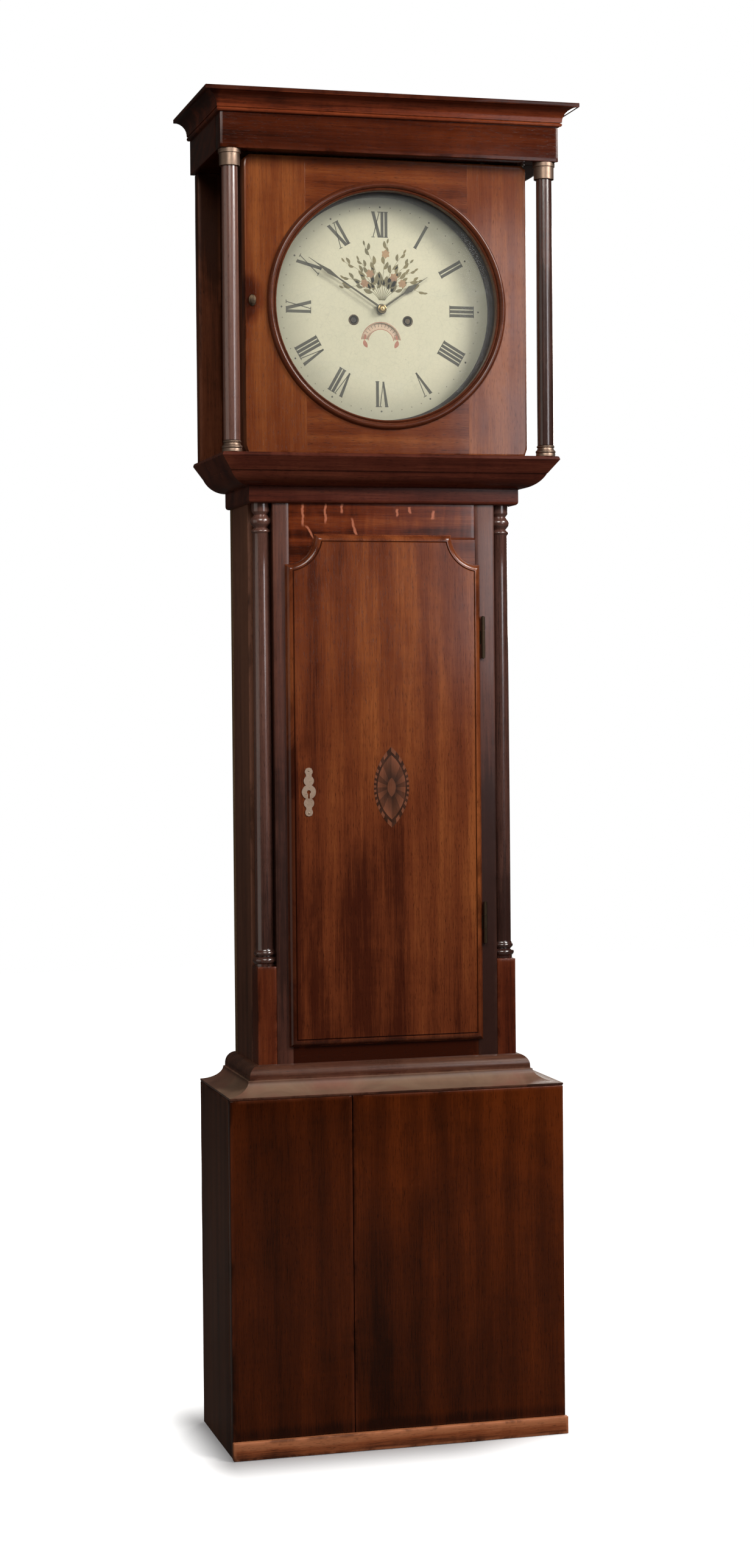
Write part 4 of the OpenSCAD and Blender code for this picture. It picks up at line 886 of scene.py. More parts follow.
# %% Base moulding
BEAD = 0.017
step, crest = BASE_X - TRUNK_X, corners("base_moulding")[1][2] - BEAD
prof = profile(
    (step - 0.001, BASE_H), (step, BASE_H + 0.0015),
    curve((step, crest - 0.005), step - 0.020, 0.019, 270, 180, 14),
    (BEAD + 0.0002, crest - 0.0045),
    curve((0.0, crest), BEAD, BEAD, 0, 90, 12),
)
run = moulding(prof, TRUNK_X, TRUNK_Y, seed=6)
make("base_top_moulding", run, WOOD["moulding_x"], "case", "base_moulding")
print("base moulding stands out", round(step, 4), "and rises to", crest + BEAD)

# %% [markdown]
# ## The trunk
# A stile stands on each side of the door, and its outer edge is cut back to a square rebate that
# holds a column. Three boards side by side make a stile with its rebate. The arrises between them
# are hardly rounded or worn, so that they pass for one board. Then come the side boards, and the
# blocks under and over the rebates.

# %% Trunk carcase
LAP, HOLLOW = 0.007, 0.046
RAIL_BACK = corners("trunk_rails")[1][1]
OPEN_L, OPEN_R = DOOR_X - DOOR_W + LAP, DOOR_X + DOOR_W - LAP
stiles = []
for inner in (OPEN_R, -OPEN_L):
    stiles.append(join(
        board((inner, TRUNK_Y, TRUNK_FOOT), (REBATE_X, RAIL_BACK, SEAT),
              r=0.0008, seed=8, tone=0.4, arris=0.4),
        board((REBATE_X - BOARD_T, RAIL_BACK - 0.0005, TRUNK_FOOT), (REBATE_X, STILE_BACK, SEAT),
              r=0.0006, seed=9, tone=0.45, arris=0.2),
        board((REBATE_X - 0.0005, REBATE_Y, TRUNK_FOOT), (CHEEK_X, STILE_BACK, SEAT),
              r=0.0006, seed=10, tone=0.5, arris=0.2),
    ))
stiles = join(stiles[0], mirrored(stiles[1]))
make("trunk_stile_boards", stiles, WOOD["trunk_v"], "case", "trunk_stiles")
cheek = board((CHEEK_X, REBATE_Y, TRUNK_FOOT), (TRUNK_X, INNER_BACK, CHEEK_TOP), seed=12, tone=0.3)
make("trunk_side_boards", pair(cheek), WOOD["side_v"], "case", "trunk_sides")
block = join(
    board((REBATE_X, TRUNK_Y, BASE_H), (TRUNK_X, REBATE_Y, BLOCK_TOP), seed=13, tone=0.7),
    board((REBATE_X, TRUNK_Y, THROAT), (TRUNK_X, REBATE_Y, SEAT), r=0.0006, seed=14, tone=0.7),
)
make("corner_blocks", pair(block), WOOD["block_v"], "case", "column_blocks")
print("door opening from", round(OPEN_L, 4), "to", round(OPEN_R, 4))

# %% [markdown]
# The door has a hollow quarter circle cut out of each upper corner, and the rail above it has the
# spandrels that fill them. One function gives the door's outline at any distance inside its edge:
# the corner's centre stays and the radius of its arc grows.


# %% The door's outline
def at(loop, y):
    """Points (x, z) set at the depth y."""
    return np.insert(loop, 1, y, axis=1)


def door_loop(inset):
    """Points (x, z) round the door's outline, counted from its lower left corner: straight sides,
    and at each upper corner a hollow quarter circle of radius HOLLOW + inset about the outer
    corner."""
    w, h, r = DOOR_W - inset, DOOR_H - inset, HOLLOW + inset
    reach, a0 = math.sqrt(r * r - inset * inset), math.degrees(math.asin(inset / r))
    line = lambda a, b, n: np.linspace(a, b, n, endpoint=False)
    arc_r = curve((DOOR_W, DOOR_H), r, r, 270 - a0, 180 + a0, 26)
    arc_l = curve((-DOOR_W, DOOR_H), r, r, -a0, a0 - 90, 26)
    pts = np.concatenate([
        line((-w, -h), (w, -h), 40), line((w, -h), (w, DOOR_H - reach), 90), arc_r,
        line(arc_r[-1], arc_l[0], 30)[1:], arc_l, line(arc_l[-1], (-w, -h), 90)[1:],
    ])
    return pts + [DOOR_X, DOOR_MID]


print("points round the door", len(door_loop(0.0)))

# %% [markdown]
# The rails close the opening over and under the door. Each is a board, and a spandrel is a thin
# sheet on each face between a straight line and the arc, with a lip along the arc to close it.

# %% Rails
# The opening's arc is larger than the door's by the lap, so it ends SKEW degrees short of square.
BOW, DOOR_TOP = HOLLOW + LAP, DOOR_MID + DOOR_H
SKEW = 7.6
rails = []
for cx, a0, a1 in ((DOOR_X + DOOR_W, 180 + SKEW, 270 - SKEW), (DOOR_X - DOOR_W, -SKEW, SKEW - 90)):
    bow = curve((cx, DOOR_TOP), BOW, BOW, a0, a1, 20)
    top = np.stack([bow[:, 0], np.full(len(bow), DOOR_TOP - LAP + 0.0005)], 1)
    faces = [grid(np.stack([at(top, y), at(bow, y)]), 0, 0.2) for y in (TRUNK_Y, RAIL_BACK)]
    lip = grid(np.stack([at(bow, TRUNK_Y), at(bow, RAIL_BACK)]), 0.5, 0.2)
    rails += [faces[0], flipped(faces[1]), lip]
rails.append(board((OPEN_L, TRUNK_Y, DOOR_TOP - LAP), (OPEN_R, RAIL_BACK, SEAT),
                   r=0.0003, tone=0.2, seed=17, arris=0.0))
rails.append(board((OPEN_L, TRUNK_Y, TRUNK_FOOT), (OPEN_R, RAIL_BACK, DOOR_MID - DOOR_H + LAP),
                   r=0.0004, seed=18, tone=0.9, arris=0.2))
make("trunk_rail_boards", join(rails), WOOD["rail_x"], "case", "trunk_rails")
print("sheets and boards in the rails", len(rails))

# %% [markdown]
# The corner columns were turned on a lathe and then sawn flat where they meet the rebate: rings at
# the foot, a shaft that tapers, and a ring and a ball at the neck. Turning a profile makes them,
# and a limit on X gives the sawn face. The moulding under the hood is a cove between two fillets.

# %% Columns and the moulding under the hood
CORNER_X, CORNER_Y = 0.1905, -0.021
FOOT_R, NECK_R, FOOT_H, NECK_H = 0.0138, 0.0124, 0.028, 0.046
tall = THROAT - BLOCK_TOP
up = np.linspace(0, 1, 12)[1:]
swell = 0.0004 * np.sin(3.14 * up)
column = profile(
    (0.0, 0.0), (FOOT_R + 0.0015, 0), (FOOT_R + 0.0015, 0.004),
    curve((FOOT_R - 0.0005, 0.009), 0.005, 0.005, -50, 50, 8),
    (FOOT_R - 0.0006, 0.0148),
    curve((FOOT_R - 0.001, 0.020), 0.004, 0.004, -50, 50, 8),
    (FOOT_R, 0.026), (FOOT_R, FOOT_H),
    np.stack([FOOT_R + (NECK_R - FOOT_R) * up + swell, FOOT_H + (tall - NECK_H - FOOT_H) * up], 1),
    curve((NECK_R - 0.0005, tall - 0.042), 0.0028, 0.0028, -60, 60, 6),
    (NECK_R - 0.002, tall - 0.037),
    curve((NECK_R - 0.0045, tall - 0.027), 0.008, 0.008, -50, 50, 12),
    (NECK_R - 0.002, tall - 0.017), (NECK_R + 0.0005, tall - 0.0135),
    (NECK_R + 0.0015, tall - 0.012), (NECK_R + 0.0015, tall), (0.0, tall),
)
col = turned(column, (CORNER_X, CORNER_Y, BLOCK_TOP), n=56, tone=0.25)
col["p"][:, 0] = np.maximum(col["p"][:, 0], REBATE_X - 0.0004)
make("trunk_corner_columns", pair(col), WOOD["column_v"], "case", "trunk_columns",
     smooth=30)

COVE_OUT, COVE_UP = 0.0355, 0.022
COVE_R = (COVE_OUT**2 + COVE_UP**2) / (2 * COVE_UP)
a1 = math.degrees(math.atan2(COVE_UP - COVE_R, COVE_OUT))
prof = profile(
    (0.0, THROAT), (0.0024, THROAT),
    curve((0.0025, THROAT + 0.005), 0.005, 0.005, -90, 0, 7),
    (0.0075, THROAT + 0.0245),
    curve((0.0075, THROAT + 0.025 + COVE_R), COVE_R, COVE_R, -90, a1, 14),
    (0.0, SEAT),
)
run = moulding(prof, TRUNK_X, TRUNK_Y, seed=20)
make("hood_seat_moulding", run, WOOD["frame_x"], "case", "throat_moulding")
print("trunk done")

# %% [markdown]
# ## The trunk door
# A board whose lip is rounded over and laps the frame. The outline isn't a rectangle, so a Bevel
# would crowd at its hollow corners. Instead a loft runs through insets of the outline: each row is
# (inset, depth, edge value), and the faces close by drawing the last loop in to the middle.


# %% Door leaf
def outline_sheet(rows):
    """The door's outline at each row's inset and depth, joined one to the next."""
    rows = np.array(rows, float)
    P = np.stack([at(door_loop(inset), y) for inset, y, _ in rows])
    return grid(P, rows[:, 2:], 0.35, wrap=True)


def filled(inset, y, shares, rim=0.0):
    """A flat face: the outline at an inset, drawn in to its middle by each share in turn."""
    loop, mid = at(door_loop(inset), y), np.array([DOOR_X, y, DOOR_MID])
    edge = np.array([rim] + [0.0] * (len(shares) - 1))[:, None]
    return grid(mid + (loop - mid) * np.array(shares)[:, None, None], edge, 0.35, wrap=True)


t = np.radians(np.linspace(0, 90, 9))
rounded = [0.0012 + 0.0088 * (1 - np.cos(t)), FACE + 0.0004 + 0.0084 * (1 - np.sin(t)),
           np.linspace(0.5, 0.9, 9)]
PANEL_IN, FACE_IN, REAR_IN = 0.008, 0.0123, 0.012
# Painted shade: the edge values below 0, on the lip's back and in its quirk, darken the wood.
lip = outline_sheet(profile(
    (PANEL_IN, TRUNK_Y, -0.6), (0.0, TRUNK_Y, -0.6),
    (0.0, FACE + 0.0092, 0.4), (0.0006, FACE + 0.0088, 0.5),
    np.stack(rounded, 1),
    (0.0104, FACE + 0.0014, -1.0), (0.0107, FACE + 0.0018, -1.0),
    (0.0119, FACE + 0.0008, -0.3), (FACE_IN, FACE, 0.3),
))
back = outline_sheet(
    [(PANEL_IN, TRUNK_Y, 0), (PANEL_IN, PANEL_BACK, 0), (REAR_IN, PANEL_BACK, 0)])
face = filled(FACE_IN, FACE, [1.0, 0.985, 0.9, 0.7, 0.5, 0.25, 0.001], rim=0.3)
rear = filled(REAR_IN, PANEL_BACK, [1.0, 0.5, 0.001])
make("trunk_door_leaf", join(flipped(lip), flipped(face), back, rear), WOOD["door_v"],
     "trunk_door", "trunk_door", smooth=25)
print("trunk door done")

# %% [markdown]
# ## The hood
# A box without a bottom that slides on over the movement: the frame it stands on, sides, posts,
# frieze and cornice. Boards and mouldings again, riding on the hood's own body so that they come
# forward with it.

# %% Hood carcase
FRAME_W, OVERLAP = 0.055, 0.0005
prof = profile(
    (-0.0155, SEAT), (-0.0008, SEAT + 0.0192), (0.0, SEAT + 0.0204), (-0.0002, SEAT + 0.0212),
    (-0.0015, FRAME_TOP - 0.0008), (-0.004, FRAME_TOP))
run = moulding(prof, HOOD_X, HOOD_Y, inner=-FRAME_W, seed=22)
make("hood_base_frame", run, WOOD["frame_x"], "hood", "hood_frame")
(_, MASK_Y, _), (MASK_X, MASK_BACK, _) = corners("hood_mask")
(_, POST_Y, _), (POST_X, _, _) = corners("hood_rear_posts")
BEHIND_DOOR = -0.0465
sides = join(
    board((MASK_X, BEHIND_DOOR, FRAME_TOP), (SIDE_X, BACK, BOARD), seed=23, tone=0.3),
    board((MASK_X, SIDE_FRONT, FRIEZE), (SIDE_X, BEHIND_DOOR + OVERLAP, BOARD),
          r=0.0004, seed=24, tone=0.3),
)
make("hood_side_boards", pair(sides), WOOD["hood_side_v"], "hood", "hood_sides")
post = board((SIDE_X, POST_Y, FRAME_TOP), (POST_X, BACK, FRIEZE), seed=25, tone=0.6)
make("hood_posts", pair(post), WOOD["hood_side_v"], "hood", "hood_rear_posts")
wing = board((SIDE_X, SIDE_FRONT - OVERLAP, FRIEZE), (HOOD_X, BACK, BOARD),
             r=0.0007, seed=27, tone=0.5)
frieze = board((-HOOD_X, HOOD_Y, FRIEZE), (HOOD_X, SIDE_FRONT, BOARD), r=0.001, seed=26, tone=0.35)
make("hood_frieze_boards", join(frieze, pair(wing)), WOOD["frieze_x"], "hood", "hood_frieze")
roof = board(*corners("hood_top_board"), r=0.0005)
make("hood_roof_board", roof, WOOD["pine_x"], "hood", "hood_top_board")
print("hood boards done")

# %% [markdown]
# The cornice is the clock's richest moulding: a small round, a step, a deep hollow and a flat band
# that ends the top. Its top is the clock's, and it runs round the same three sides as the others.

# %% Cornice
foot = corners("hood_cornice")[0][2]
prof = profile(
    (0.0, foot), (0.0016, foot),
    curve((0.002, foot + 0.003), 0.003, 0.003, -80, 80, 8),
    (0.0046, foot + 0.0062), (0.005, foot + 0.008),
    curve((0.024, foot + 0.008), 0.019, 0.019, 178, 92, 14),
    (0.0256, foot + 0.0268), (0.026, foot + 0.0273), (0.026, TOP - 0.0006), (0.0254, TOP),
)
run = moulding(prof, HOOD_X, HOOD_Y, seed=28)
make("hood_cornice_moulding", run, WOOD["cornice_x"], "hood", "hood_cornice")
print("cornice height", round(TOP - foot, 4))

# %% [markdown]
# The free columns are turned shafts between stamped brass feet and caps. Every ring is in the
# profile, because a bump would not show on their outline.

# %% Columns with brass feet and caps
COLUMN_X, COLUMN_Y, BRASS_H = 0.247, -0.0835, 0.017
r = 0.0125
shaft = [(0.0, 0.0), (r, 0.0005), (0.0127, 0.08), (r, 0.2), (0.0121, 0.34), (0.0119, 0.412),
         (0.0, 0.4125)]
shaft = turned(shaft, (COLUMN_X, COLUMN_Y, FRAME_TOP + BRASS_H), n=48, tone=0.4)
make("hood_column_shafts", pair(shaft), WOOD["column_v"], "hood", "hood_columns")
foot_prof = profile(
    (0.0, 0.0), (r + 0.0025, 0.0002), (r + 0.0025, 0.004),
    curve((r + 0.0005, 0.007), 0.0025, 0.0028, -50, 50, 8),
    (r + 0.0008, 0.010), (r, 0.013),
    curve((r + 0.0002, 0.015), 0.0011, 0.0014, -80, 80, 6),
    (r, BRASS_H),
)
cap_prof = [1, -1] * profile(
    (0.0, 0.0), (r + 0.0045, 0.0002), (r + 0.0045, 0.006), (r + 0.003, 0.0068),
    curve((r + 0.004, 0.0165), 0.0032, 0.009, 110, 200, 8),
    curve((r + 0.0004, 0.0185), 0.0011, 0.0013, -80, 80, 6),
    (r, 0.021),
)
brass = join(turned(foot_prof, (COLUMN_X, COLUMN_Y, FRAME_TOP), n=48),
             flipped(turned(cap_prof, (COLUMN_X, COLUMN_Y, FRIEZE), n=48)))
make("column_brass_ends", pair(brass), METAL["pale_brass"], "hood", "column_brasses",
     smooth=30)
print("hood columns", len(foot_prof), "rows of points in a foot,", len(cap_prof), "in a cap")

# %% [markdown]
# ## The hood door and the mask
# Each is a square board with a round hole. A Boolean would leave thin slivers round the hole; here
# rays from the centre join the circle to the square, so the grid stays even. The turned ring round
# the glass is a profile swept about an axis that runs back along Y.


# %% Boards with a round hole
def holed(x, z0, z1, y0, y1, hole, tone=0.5, r=0.0012, n=192):
    """A square board with a round hole about the dial's centre: on each ray the surface runs from
    the hole's edge to the square's edge, front, outside and back."""
    t = np.linspace(0, 2 * np.pi, n, endpoint=False) + np.pi / n
    c, s = np.cos(t), np.sin(t)
    rise = np.where(s > 0, z1 - DIAL, DIAL - z0)
    far = np.minimum(x / np.maximum(np.abs(c), 1e-9), rise / np.maximum(np.abs(s), 1e-9))

    def ring(radius, y):
        """A circle about the dial's centre, at the depth y."""
        return np.stack([radius * c, np.full(n, y), DIAL + radius * s], 1)

    def square(inset, y):
        """Where the rays meet the board's edge, kept inside it by the inset, at the depth y."""
        px = np.clip(far * c, -x + inset, x - inset)
        pz = np.clip(DIAL + far * s, z0 + inset, z1 - inset)
        return np.stack([px, np.full(n, y), pz], 1)

    inner, outer = ring(hole, y0), square(r, y0)
    front = [inner + (outer - inner) * k for k in (0.02, 0.2, 0.4, 0.6, 0.8, 0.97, 1)]
    rim = [square(r * 0.3, y0 + r * 0.3), square(0, y0 + r), square(0, y1)]
    rows = [ring(hole, y1), inner] + front + rim + [ring(hole, y1)]
    E = np.array([0, 0.4] + [0] * (len(front) - 1) + [0.7, 1, 0.8, 0, 0])
    return grid(np.stack(rows), E[:, None], tone, wrap=True)


MASK_HOLE, DOOR_HOLE, SIGHT = 0.171, 0.180, 0.174
(_, DOOR_FRONT, low), (leaf_x, leaf_back, high) = corners("hood_door_frame")
mask = holed(MASK_X, FRAME_TOP, FRIEZE, MASK_Y, MASK_BACK, MASK_HOLE)
make("hood_mask_board", mask, WOOD["mask_v"], "hood", "hood_mask", smooth=50)
door = holed(leaf_x, low, high, DOOR_FRONT, leaf_back, DOOR_HOLE, tone=0.55)
make("hood_door_leaf", door, WOOD["hood_v"], "hood_door", "hood_door_frame")
bead = profile(
    (SIGHT, 0.0100), (SIGHT, 0.0004),
    curve((SIGHT + 0.0035, 0.0), 0.0035, 0.0035, 180, 250, 5),
    (SIGHT + 0.0032, -0.0026),
    curve((SIGHT + 0.0090, -0.0006), 0.0050, 0.0062, 190, 350, 14),
    (SIGHT + 0.0144, -0.0004), (SIGHT + 0.0146, 0.0),
)
ring = turned(bead, (0, DOOR_FRONT, DIAL), "y", n=160, tone=0.8)
make("hood_door_ring", ring, WOOD["ring_x"], "hood_door", "hood_door_bezel",
     smooth=30)
print("hood door done")

# %% [markdown]
# ## The dial
# Paint lies a few hundredths of a millimetre over the plate. A picture would blur close up, so the
# figures are flat shapes of their own, drawn in millimetres as (across, up) on the dial and then
# set in place. The hours are plain Roman figures that stand on the dial's centre.


# %% Flat shapes
def on_dial(uv, lift=0.04, tone=0.5):
    """A grid of (across, up) points in millimetres, laid in front of the dial's face."""
    uv = np.asarray(uv, float) * MM
    y = np.full(uv.shape[:-1], DIAL_FACE - lift * MM)
    return flipped(grid(np.stack([uv[..., 0], y, DIAL + uv[..., 1]], -1), 0.0, tone))


def stroke(a, b, w0, w1=None):
    """A tapered bar from point a to point b: full width w0 at a and w1 at b."""
    a, b = np.array(a, float), np.array(b, float)
    n = np.array([-(b - a)[1], (b - a)[0]])
    n /= np.linalg.norm(n)
    h = np.array([w0, w0 if w1 is None else w1])[:, None] / 2
    ends = np.stack([a, b])
    return np.stack([ends + n * h, ends - n * h], 1)


def leaf(root, angle, length, width, bend):
    """A pointed leaf: half-width width/2 x sin(pi t)^0.75 along a midrib that starts at angle
    (degrees from upright, clockwise) and bends as it goes."""
    t = np.linspace(0, 1, 9)[:, None]
    a = np.radians(angle) + bend * t
    way = np.concatenate([np.sin(a), np.cos(a)], 1)
    rib = np.array(root) + length * t * way
    half = width / 2 * np.sin(np.pi * np.clip(t, 0.001, 0.999)) ** 0.75
    side = np.stack([way[:, 1], -way[:, 0]], 1) * half
    return np.stack([rib - side, rib, rib + side], 1)


def turn(uv, hour, radius):
    """Stands a shape on the dial's centre at an hour: up is outwards along radius, across is
    clockwise."""
    a = math.radians(30 * hour)
    out, across = np.array([math.sin(a), math.cos(a)]), np.array([math.cos(a), -math.sin(a)])
    return out * (radius + uv[..., 1:]) + across * uv[..., :1]


print("a leaf has", leaf((0, 0), 0, 10, 4, 0).shape[:2], "points")

# %% [markdown]
# A Roman figure is a few bars, thick one way and thin the other, with a thin stroke across each
# end. A letter is drawn upright round its own middle, the letters of an hour are set side by side,
# and the whole is stood on the dial's centre. Small dots mark the minutes, larger at the hours.

# %% Hour figures and minute marks
TALL, THICK, THIN, SERIF = 38.5, 4.6, 1.3, 1.1
HOUR_R, MINUTE_R = 130, 156.5
H = TALL / 2


def serif(x, half, end):
    """The thin stroke across the top (end 1) or the foot (end -1) of a bar at x."""
    return stroke((x - half, end * H), (x + half, end * H), SERIF)


def figure_i(x):
    """One thick bar with a stroke across each end."""
    return [stroke((x, -H), (x, H), THICK), serif(x, 3.1, -1), serif(x, 3.1, 1)]


def figure_v(x):
    """A thick bar and a thin one that meet at the foot."""
    bars = [stroke((x - 5.2, H), (x, -H), THICK + 0.4, THICK * 0.6),
            stroke((x + 5.2, H), (x, -H), THIN)]
    return bars + [serif(x + e * 5.2, 2.8, 1) for e in (-1, 1)]


def figure_x(x):
    """A thick bar and a thin one that cross in the middle."""
    bars = [stroke((x - 5.0, H), (x + 5.0, -H), THICK + 0.4),
            stroke((x + 5.0, H), (x - 5.0, -H), THIN)]
    return bars + [serif(x + e * 5.0, 2.8, f) for e in (-1, 1) for f in (-1, 1)]


DRAW = {"I": (figure_i, 6.2), "V": (figure_v, 12.6), "X": (figure_x, 12.6)}
HOURS = "XII I II III IIII V VI VII VIII IX X XI".split()
figures = []
for hour, word in enumerate(HOURS):
    x = -sum(DRAW[c][1] for c in word) / 2
    for k, c in enumerate(word):
        draw, width = DRAW[c]
        for uv in draw(x + width / 2):
            figures.append(on_dial(turn(uv, hour, HOUR_R), 0.05 + 0.006 * k, tone=0.08 * hour))
        x += width
for minute in range(60):
    r = 0.75 if minute % 5 else 1.5
    dot = np.stack([np.zeros((9, 2)), curve((0, 0), r, r, 0, 360, 8)])
    figures.append(flipped(on_dial(turn(dot, minute / 5, MINUTE_R), 0.05)))
make("dial_figures", join(figures), PAINT["black"], "case")
print("hour figures", len(HOURS))

# %% [markdown]
# The spray over the hands is a plain one worked out by formula: stems in a fan, leaves to their
# left and right by turns, and a six-leaved bloom on every other stem.

# %% The painted spray
leaves, blooms, stems = [], [], []
FAN = np.linspace(-66, 70, 11)
lengths = 62 + 20 * np.cos(np.radians(FAN * 1.1)) ** 2 + rng.uniform(-9, 9, len(FAN))
for k, (angle, length) in enumerate(zip(FAN, lengths)):
    root, bend = (2 + 0.06 * angle, 14), 0.35 * np.sign(angle) * rng.uniform(0.4, 1.0)
    t = np.linspace(0, 1, 12)[:, None]
    a = np.radians(angle) * (0.45 + 0.55 * t) + bend * t * 0.5
    rib = np.array(root) + length * t * np.concatenate([np.sin(a), np.cos(a)], 1)
    side = np.concatenate([np.cos(a), -np.sin(a)], 1) * (0.45 - 0.2 * t)
    stems.append(on_dial(np.stack([rib - side, rib + side], 1), 0.045, tone=0.3))
    for j, f in enumerate(np.arange(0.3, 0.98, 0.13)):
        i = int(f * 11)
        way, hand = math.degrees(a[i, 0]), 1 if (j + k) % 2 else -1
        size = rng.uniform(12, 17) * (1.15 - 0.4 * f)
        blade = leaf(rib[i], way + hand * rng.uniform(28, 55), size, size * 0.42, hand * -0.4)
        leaves.append(on_dial(blade, 0.06 + 0.004 * j, tone=rng.uniform()))
    tip = leaf(rib[-1], math.degrees(a[-1, 0]), 8.5, 3.2, 0.1)
    leaves.append(on_dial(tip, 0.07, tone=rng.uniform()))
    if k % 2:
        mid = rib[int((0.58 + 0.12 * ((k // 2) % 3)) * 11)]
        for i in range(6):
            petal = leaf(mid, 60 * i + 11 * k, 7.0, 5.0, 0.15)
            blooms.append(on_dial(petal, 0.09 + 0.002 * i, tone=0.1 * k))
        blooms.append(on_dial(leaf(mid - [0, 1.6], 0, 3.4, 3.0, 0), 0.11, tone=0.95))
make("spray_stems", join(stems), PAINT["leaf"], "case")
make("spray_leaves", join(leaves), PAINT["leaf"], "case")
make("spray_blooms", join(blooms), PAINT["petal"], "case")
print("spray", len(stems), "stems", len(leaves), "leaves")

# %% [markdown]
# The calendar's mouth is a curved slot with a painted border, and the date ring behind it has
# marks for fourteen days. Small turned rings line the winding holes, and a turned boss holds the
# hands.

# %% Calendar mouth, winding rings and the hands' boss
CALENDAR, BORDER = np.array([0, -51]), 1.1
mouth, ticks = [], []
for radius in (31.4, 20.6):
    rims = [curve(CALENDAR, r, r, 8, 172, 39) for r in (radius - BORDER / 2, radius + BORDER / 2)]
    mouth.append(on_dial(np.stack(rims, 1), 0.05, tone=0.7))
for e in (-1, 1):
    drop = leaf((e * 26.5, -47), 180 + e * 4, 13, 6.5, 0.3 * e)
    mouth.append(flipped(on_dial(drop, 0.055, tone=0.2)))
    mouth.append(on_dial(leaf((e * 26.5, -47), -e * 28, 9, 4, 0.3 * e), 0.056, tone=0.4))
make("mouth_border", join(mouth), PAINT["rose"], "case")
for day in range(14):
    a = math.radians(day * 360 / 31 - 65)
    way = np.array([math.sin(a), math.cos(a)])
    ticks.append(on_dial(stroke(CALENDAR + 24.6 * way, CALENDAR + 29.3 * way, 0.7), -2.75))
make("date_ticks", join(ticks), PAINT["black"], "case")
WINDING_X, WINDING_DOWN = 0.043, 0.017
ring = [[0.0066, 0.0004], [0.0066, -0.0006], [0.0072, -0.0009], [0.0080, -0.0006], [0.0082, 0.0]]
rings = [turned(ring, (e * WINDING_X, DIAL_FACE, DIAL - WINDING_DOWN), "y", n=40) for e in (-1, 1)]
make("winding_rings", join(rings), METAL["dark_brass"], "case", smooth=50)
boss = [[0.0066, 0.0], [0.0064, -0.0008], [0.0048, -0.0014], [0.0040, -0.0022], [0.0022, -0.0030],
        [0.0, -0.0032]]
boss = turned(boss, (0, corners("minute_hand")[0][1], DIAL), "y", n=36)
make("hand_boss", boss, METAL["brass"], "minute_train", smooth=50)
print("dial done")

# %% [markdown]
# ## Inlay and small fittings
# The inlay is a pointed oval: a strung border round sixteen rays that are dark at their roots. Each
# veneer is its own patch of a grid in (share of the radius, angle), so its tone can differ.


# %% Inlay
RAYS, LENS_W, LENS_H = 16, 0.028, 0.062
low, high = corners("trunk_door_inlay")
LENS_X, LENS_Z = (low[0] + high[0]) / 2, (low[2] + high[2]) / 2


def pointed(angle, y, share=1.0):
    """Points at an angle on the pointed oval, where the ray leaves the two arcs that pass through
    its ends, times a share of that radius."""
    R = (LENS_H**2 + LENS_W**2) / (2 * LENS_W)
    c, s, k = np.abs(np.cos(angle)), np.sin(angle), R - LENS_W
    full = share * (np.sqrt(np.maximum(R * R - (k * s) ** 2, 0)) - k * c)
    return np.stack([LENS_X + full * np.cos(angle), np.full(len(angle), y), LENS_Z + full * s], 1)


def veneer(r0, r1, a0, a1, tone, scorch=(0.0, 0.0), n=10):
    """Part of the oval between two shares of its radius, from angle a0 to a1."""
    a = np.linspace(a0, a1, n)
    P = np.stack([pointed(a, FACE - 0.0003, r) for r in (r0, r1)])
    return grid(P, np.array(scorch)[:, None], tone)


angles = lambda n: [(i, 2 * np.pi * i / n, 2 * np.pi * (i + 1) / n) for i in range(n)]
oval = [veneer(0.88, 1.0, a0, a1, 0.9 if i % 2 else 0.1) for i, a0, a1 in angles(48)]
oval += [veneer(0.80, 0.88, a0, a1, 0.05, n=24) for _, a0, a1 in angles(4)]
oval += [veneer(0.24, 0.80, a0, a1, 0.95 if i % 2 else 0.45, (1.0, 0.0))
         for i, a0, a1 in angles(RAYS)]
oval.append(veneer(0.0, 0.24, 0, 2 * np.pi, 0.7, (0.0, 0.3), 48))
rim = np.linspace(0, 2 * np.pi, 97)
oval.append(grid(np.stack([pointed(rim, FACE - 0.0003), pointed(rim, FACE + 0.0002)]), 0, 0.1))
make("door_inlay", join(oval), INLAY, "trunk_door", "trunk_door_inlay", smooth=60)
print("veneers in the oval", len(oval) - 1)

# %% [markdown]
# The hood door has a small knob on a round plate, drawn out upright into an oval, and two domed
# pins hold the keyhole plate. All are turned on an axis that runs back, and the knob's points are
# then stretched in its mesh, because its object stays unscaled.

# %% Catch and pins
CATCH_X, CATCH_Z, CATCH_TALL = -0.211, 1.743, 1.55
catch = join(
    turned([[0.0, -0.0012], [0.0050, -0.0012], [0.0056, -0.0008], [0.0058, 0.0]],
           (0, 0, 0), "y", n=32),
    turned([[0.0030, -0.0010], [0.0026, -0.0030], [0.0040, -0.0052], [0.0046, -0.0062],
            [0.0036, -0.0069], [0.0, -0.0070]], (0, 0, 0), "y", n=32),
)
catch["p"] = catch["p"] * [1, 1, CATCH_TALL] + [CATCH_X, DOOR_FRONT, CATCH_Z]
make("hood_door_catch", catch, METAL["dark_brass"], "hood_door", smooth=50)
low, high = np.array(corners("trunk_door_escutcheon"))
(x, _, z), PIN_UP = (low + high) / 2, 0.0325
pin = [[0.0014, 0.0], [0.0012, -0.0005], [0.0, -0.0008]]
pins = [turned(pin, (x, low[1], z + dz), "y", n=16) for dz in (-PIN_UP, PIN_UP)]
make("keyhole_plate_pins", join(pins), METAL["keyhole_brass"], "trunk_door", smooth=60)
print("small fittings done")

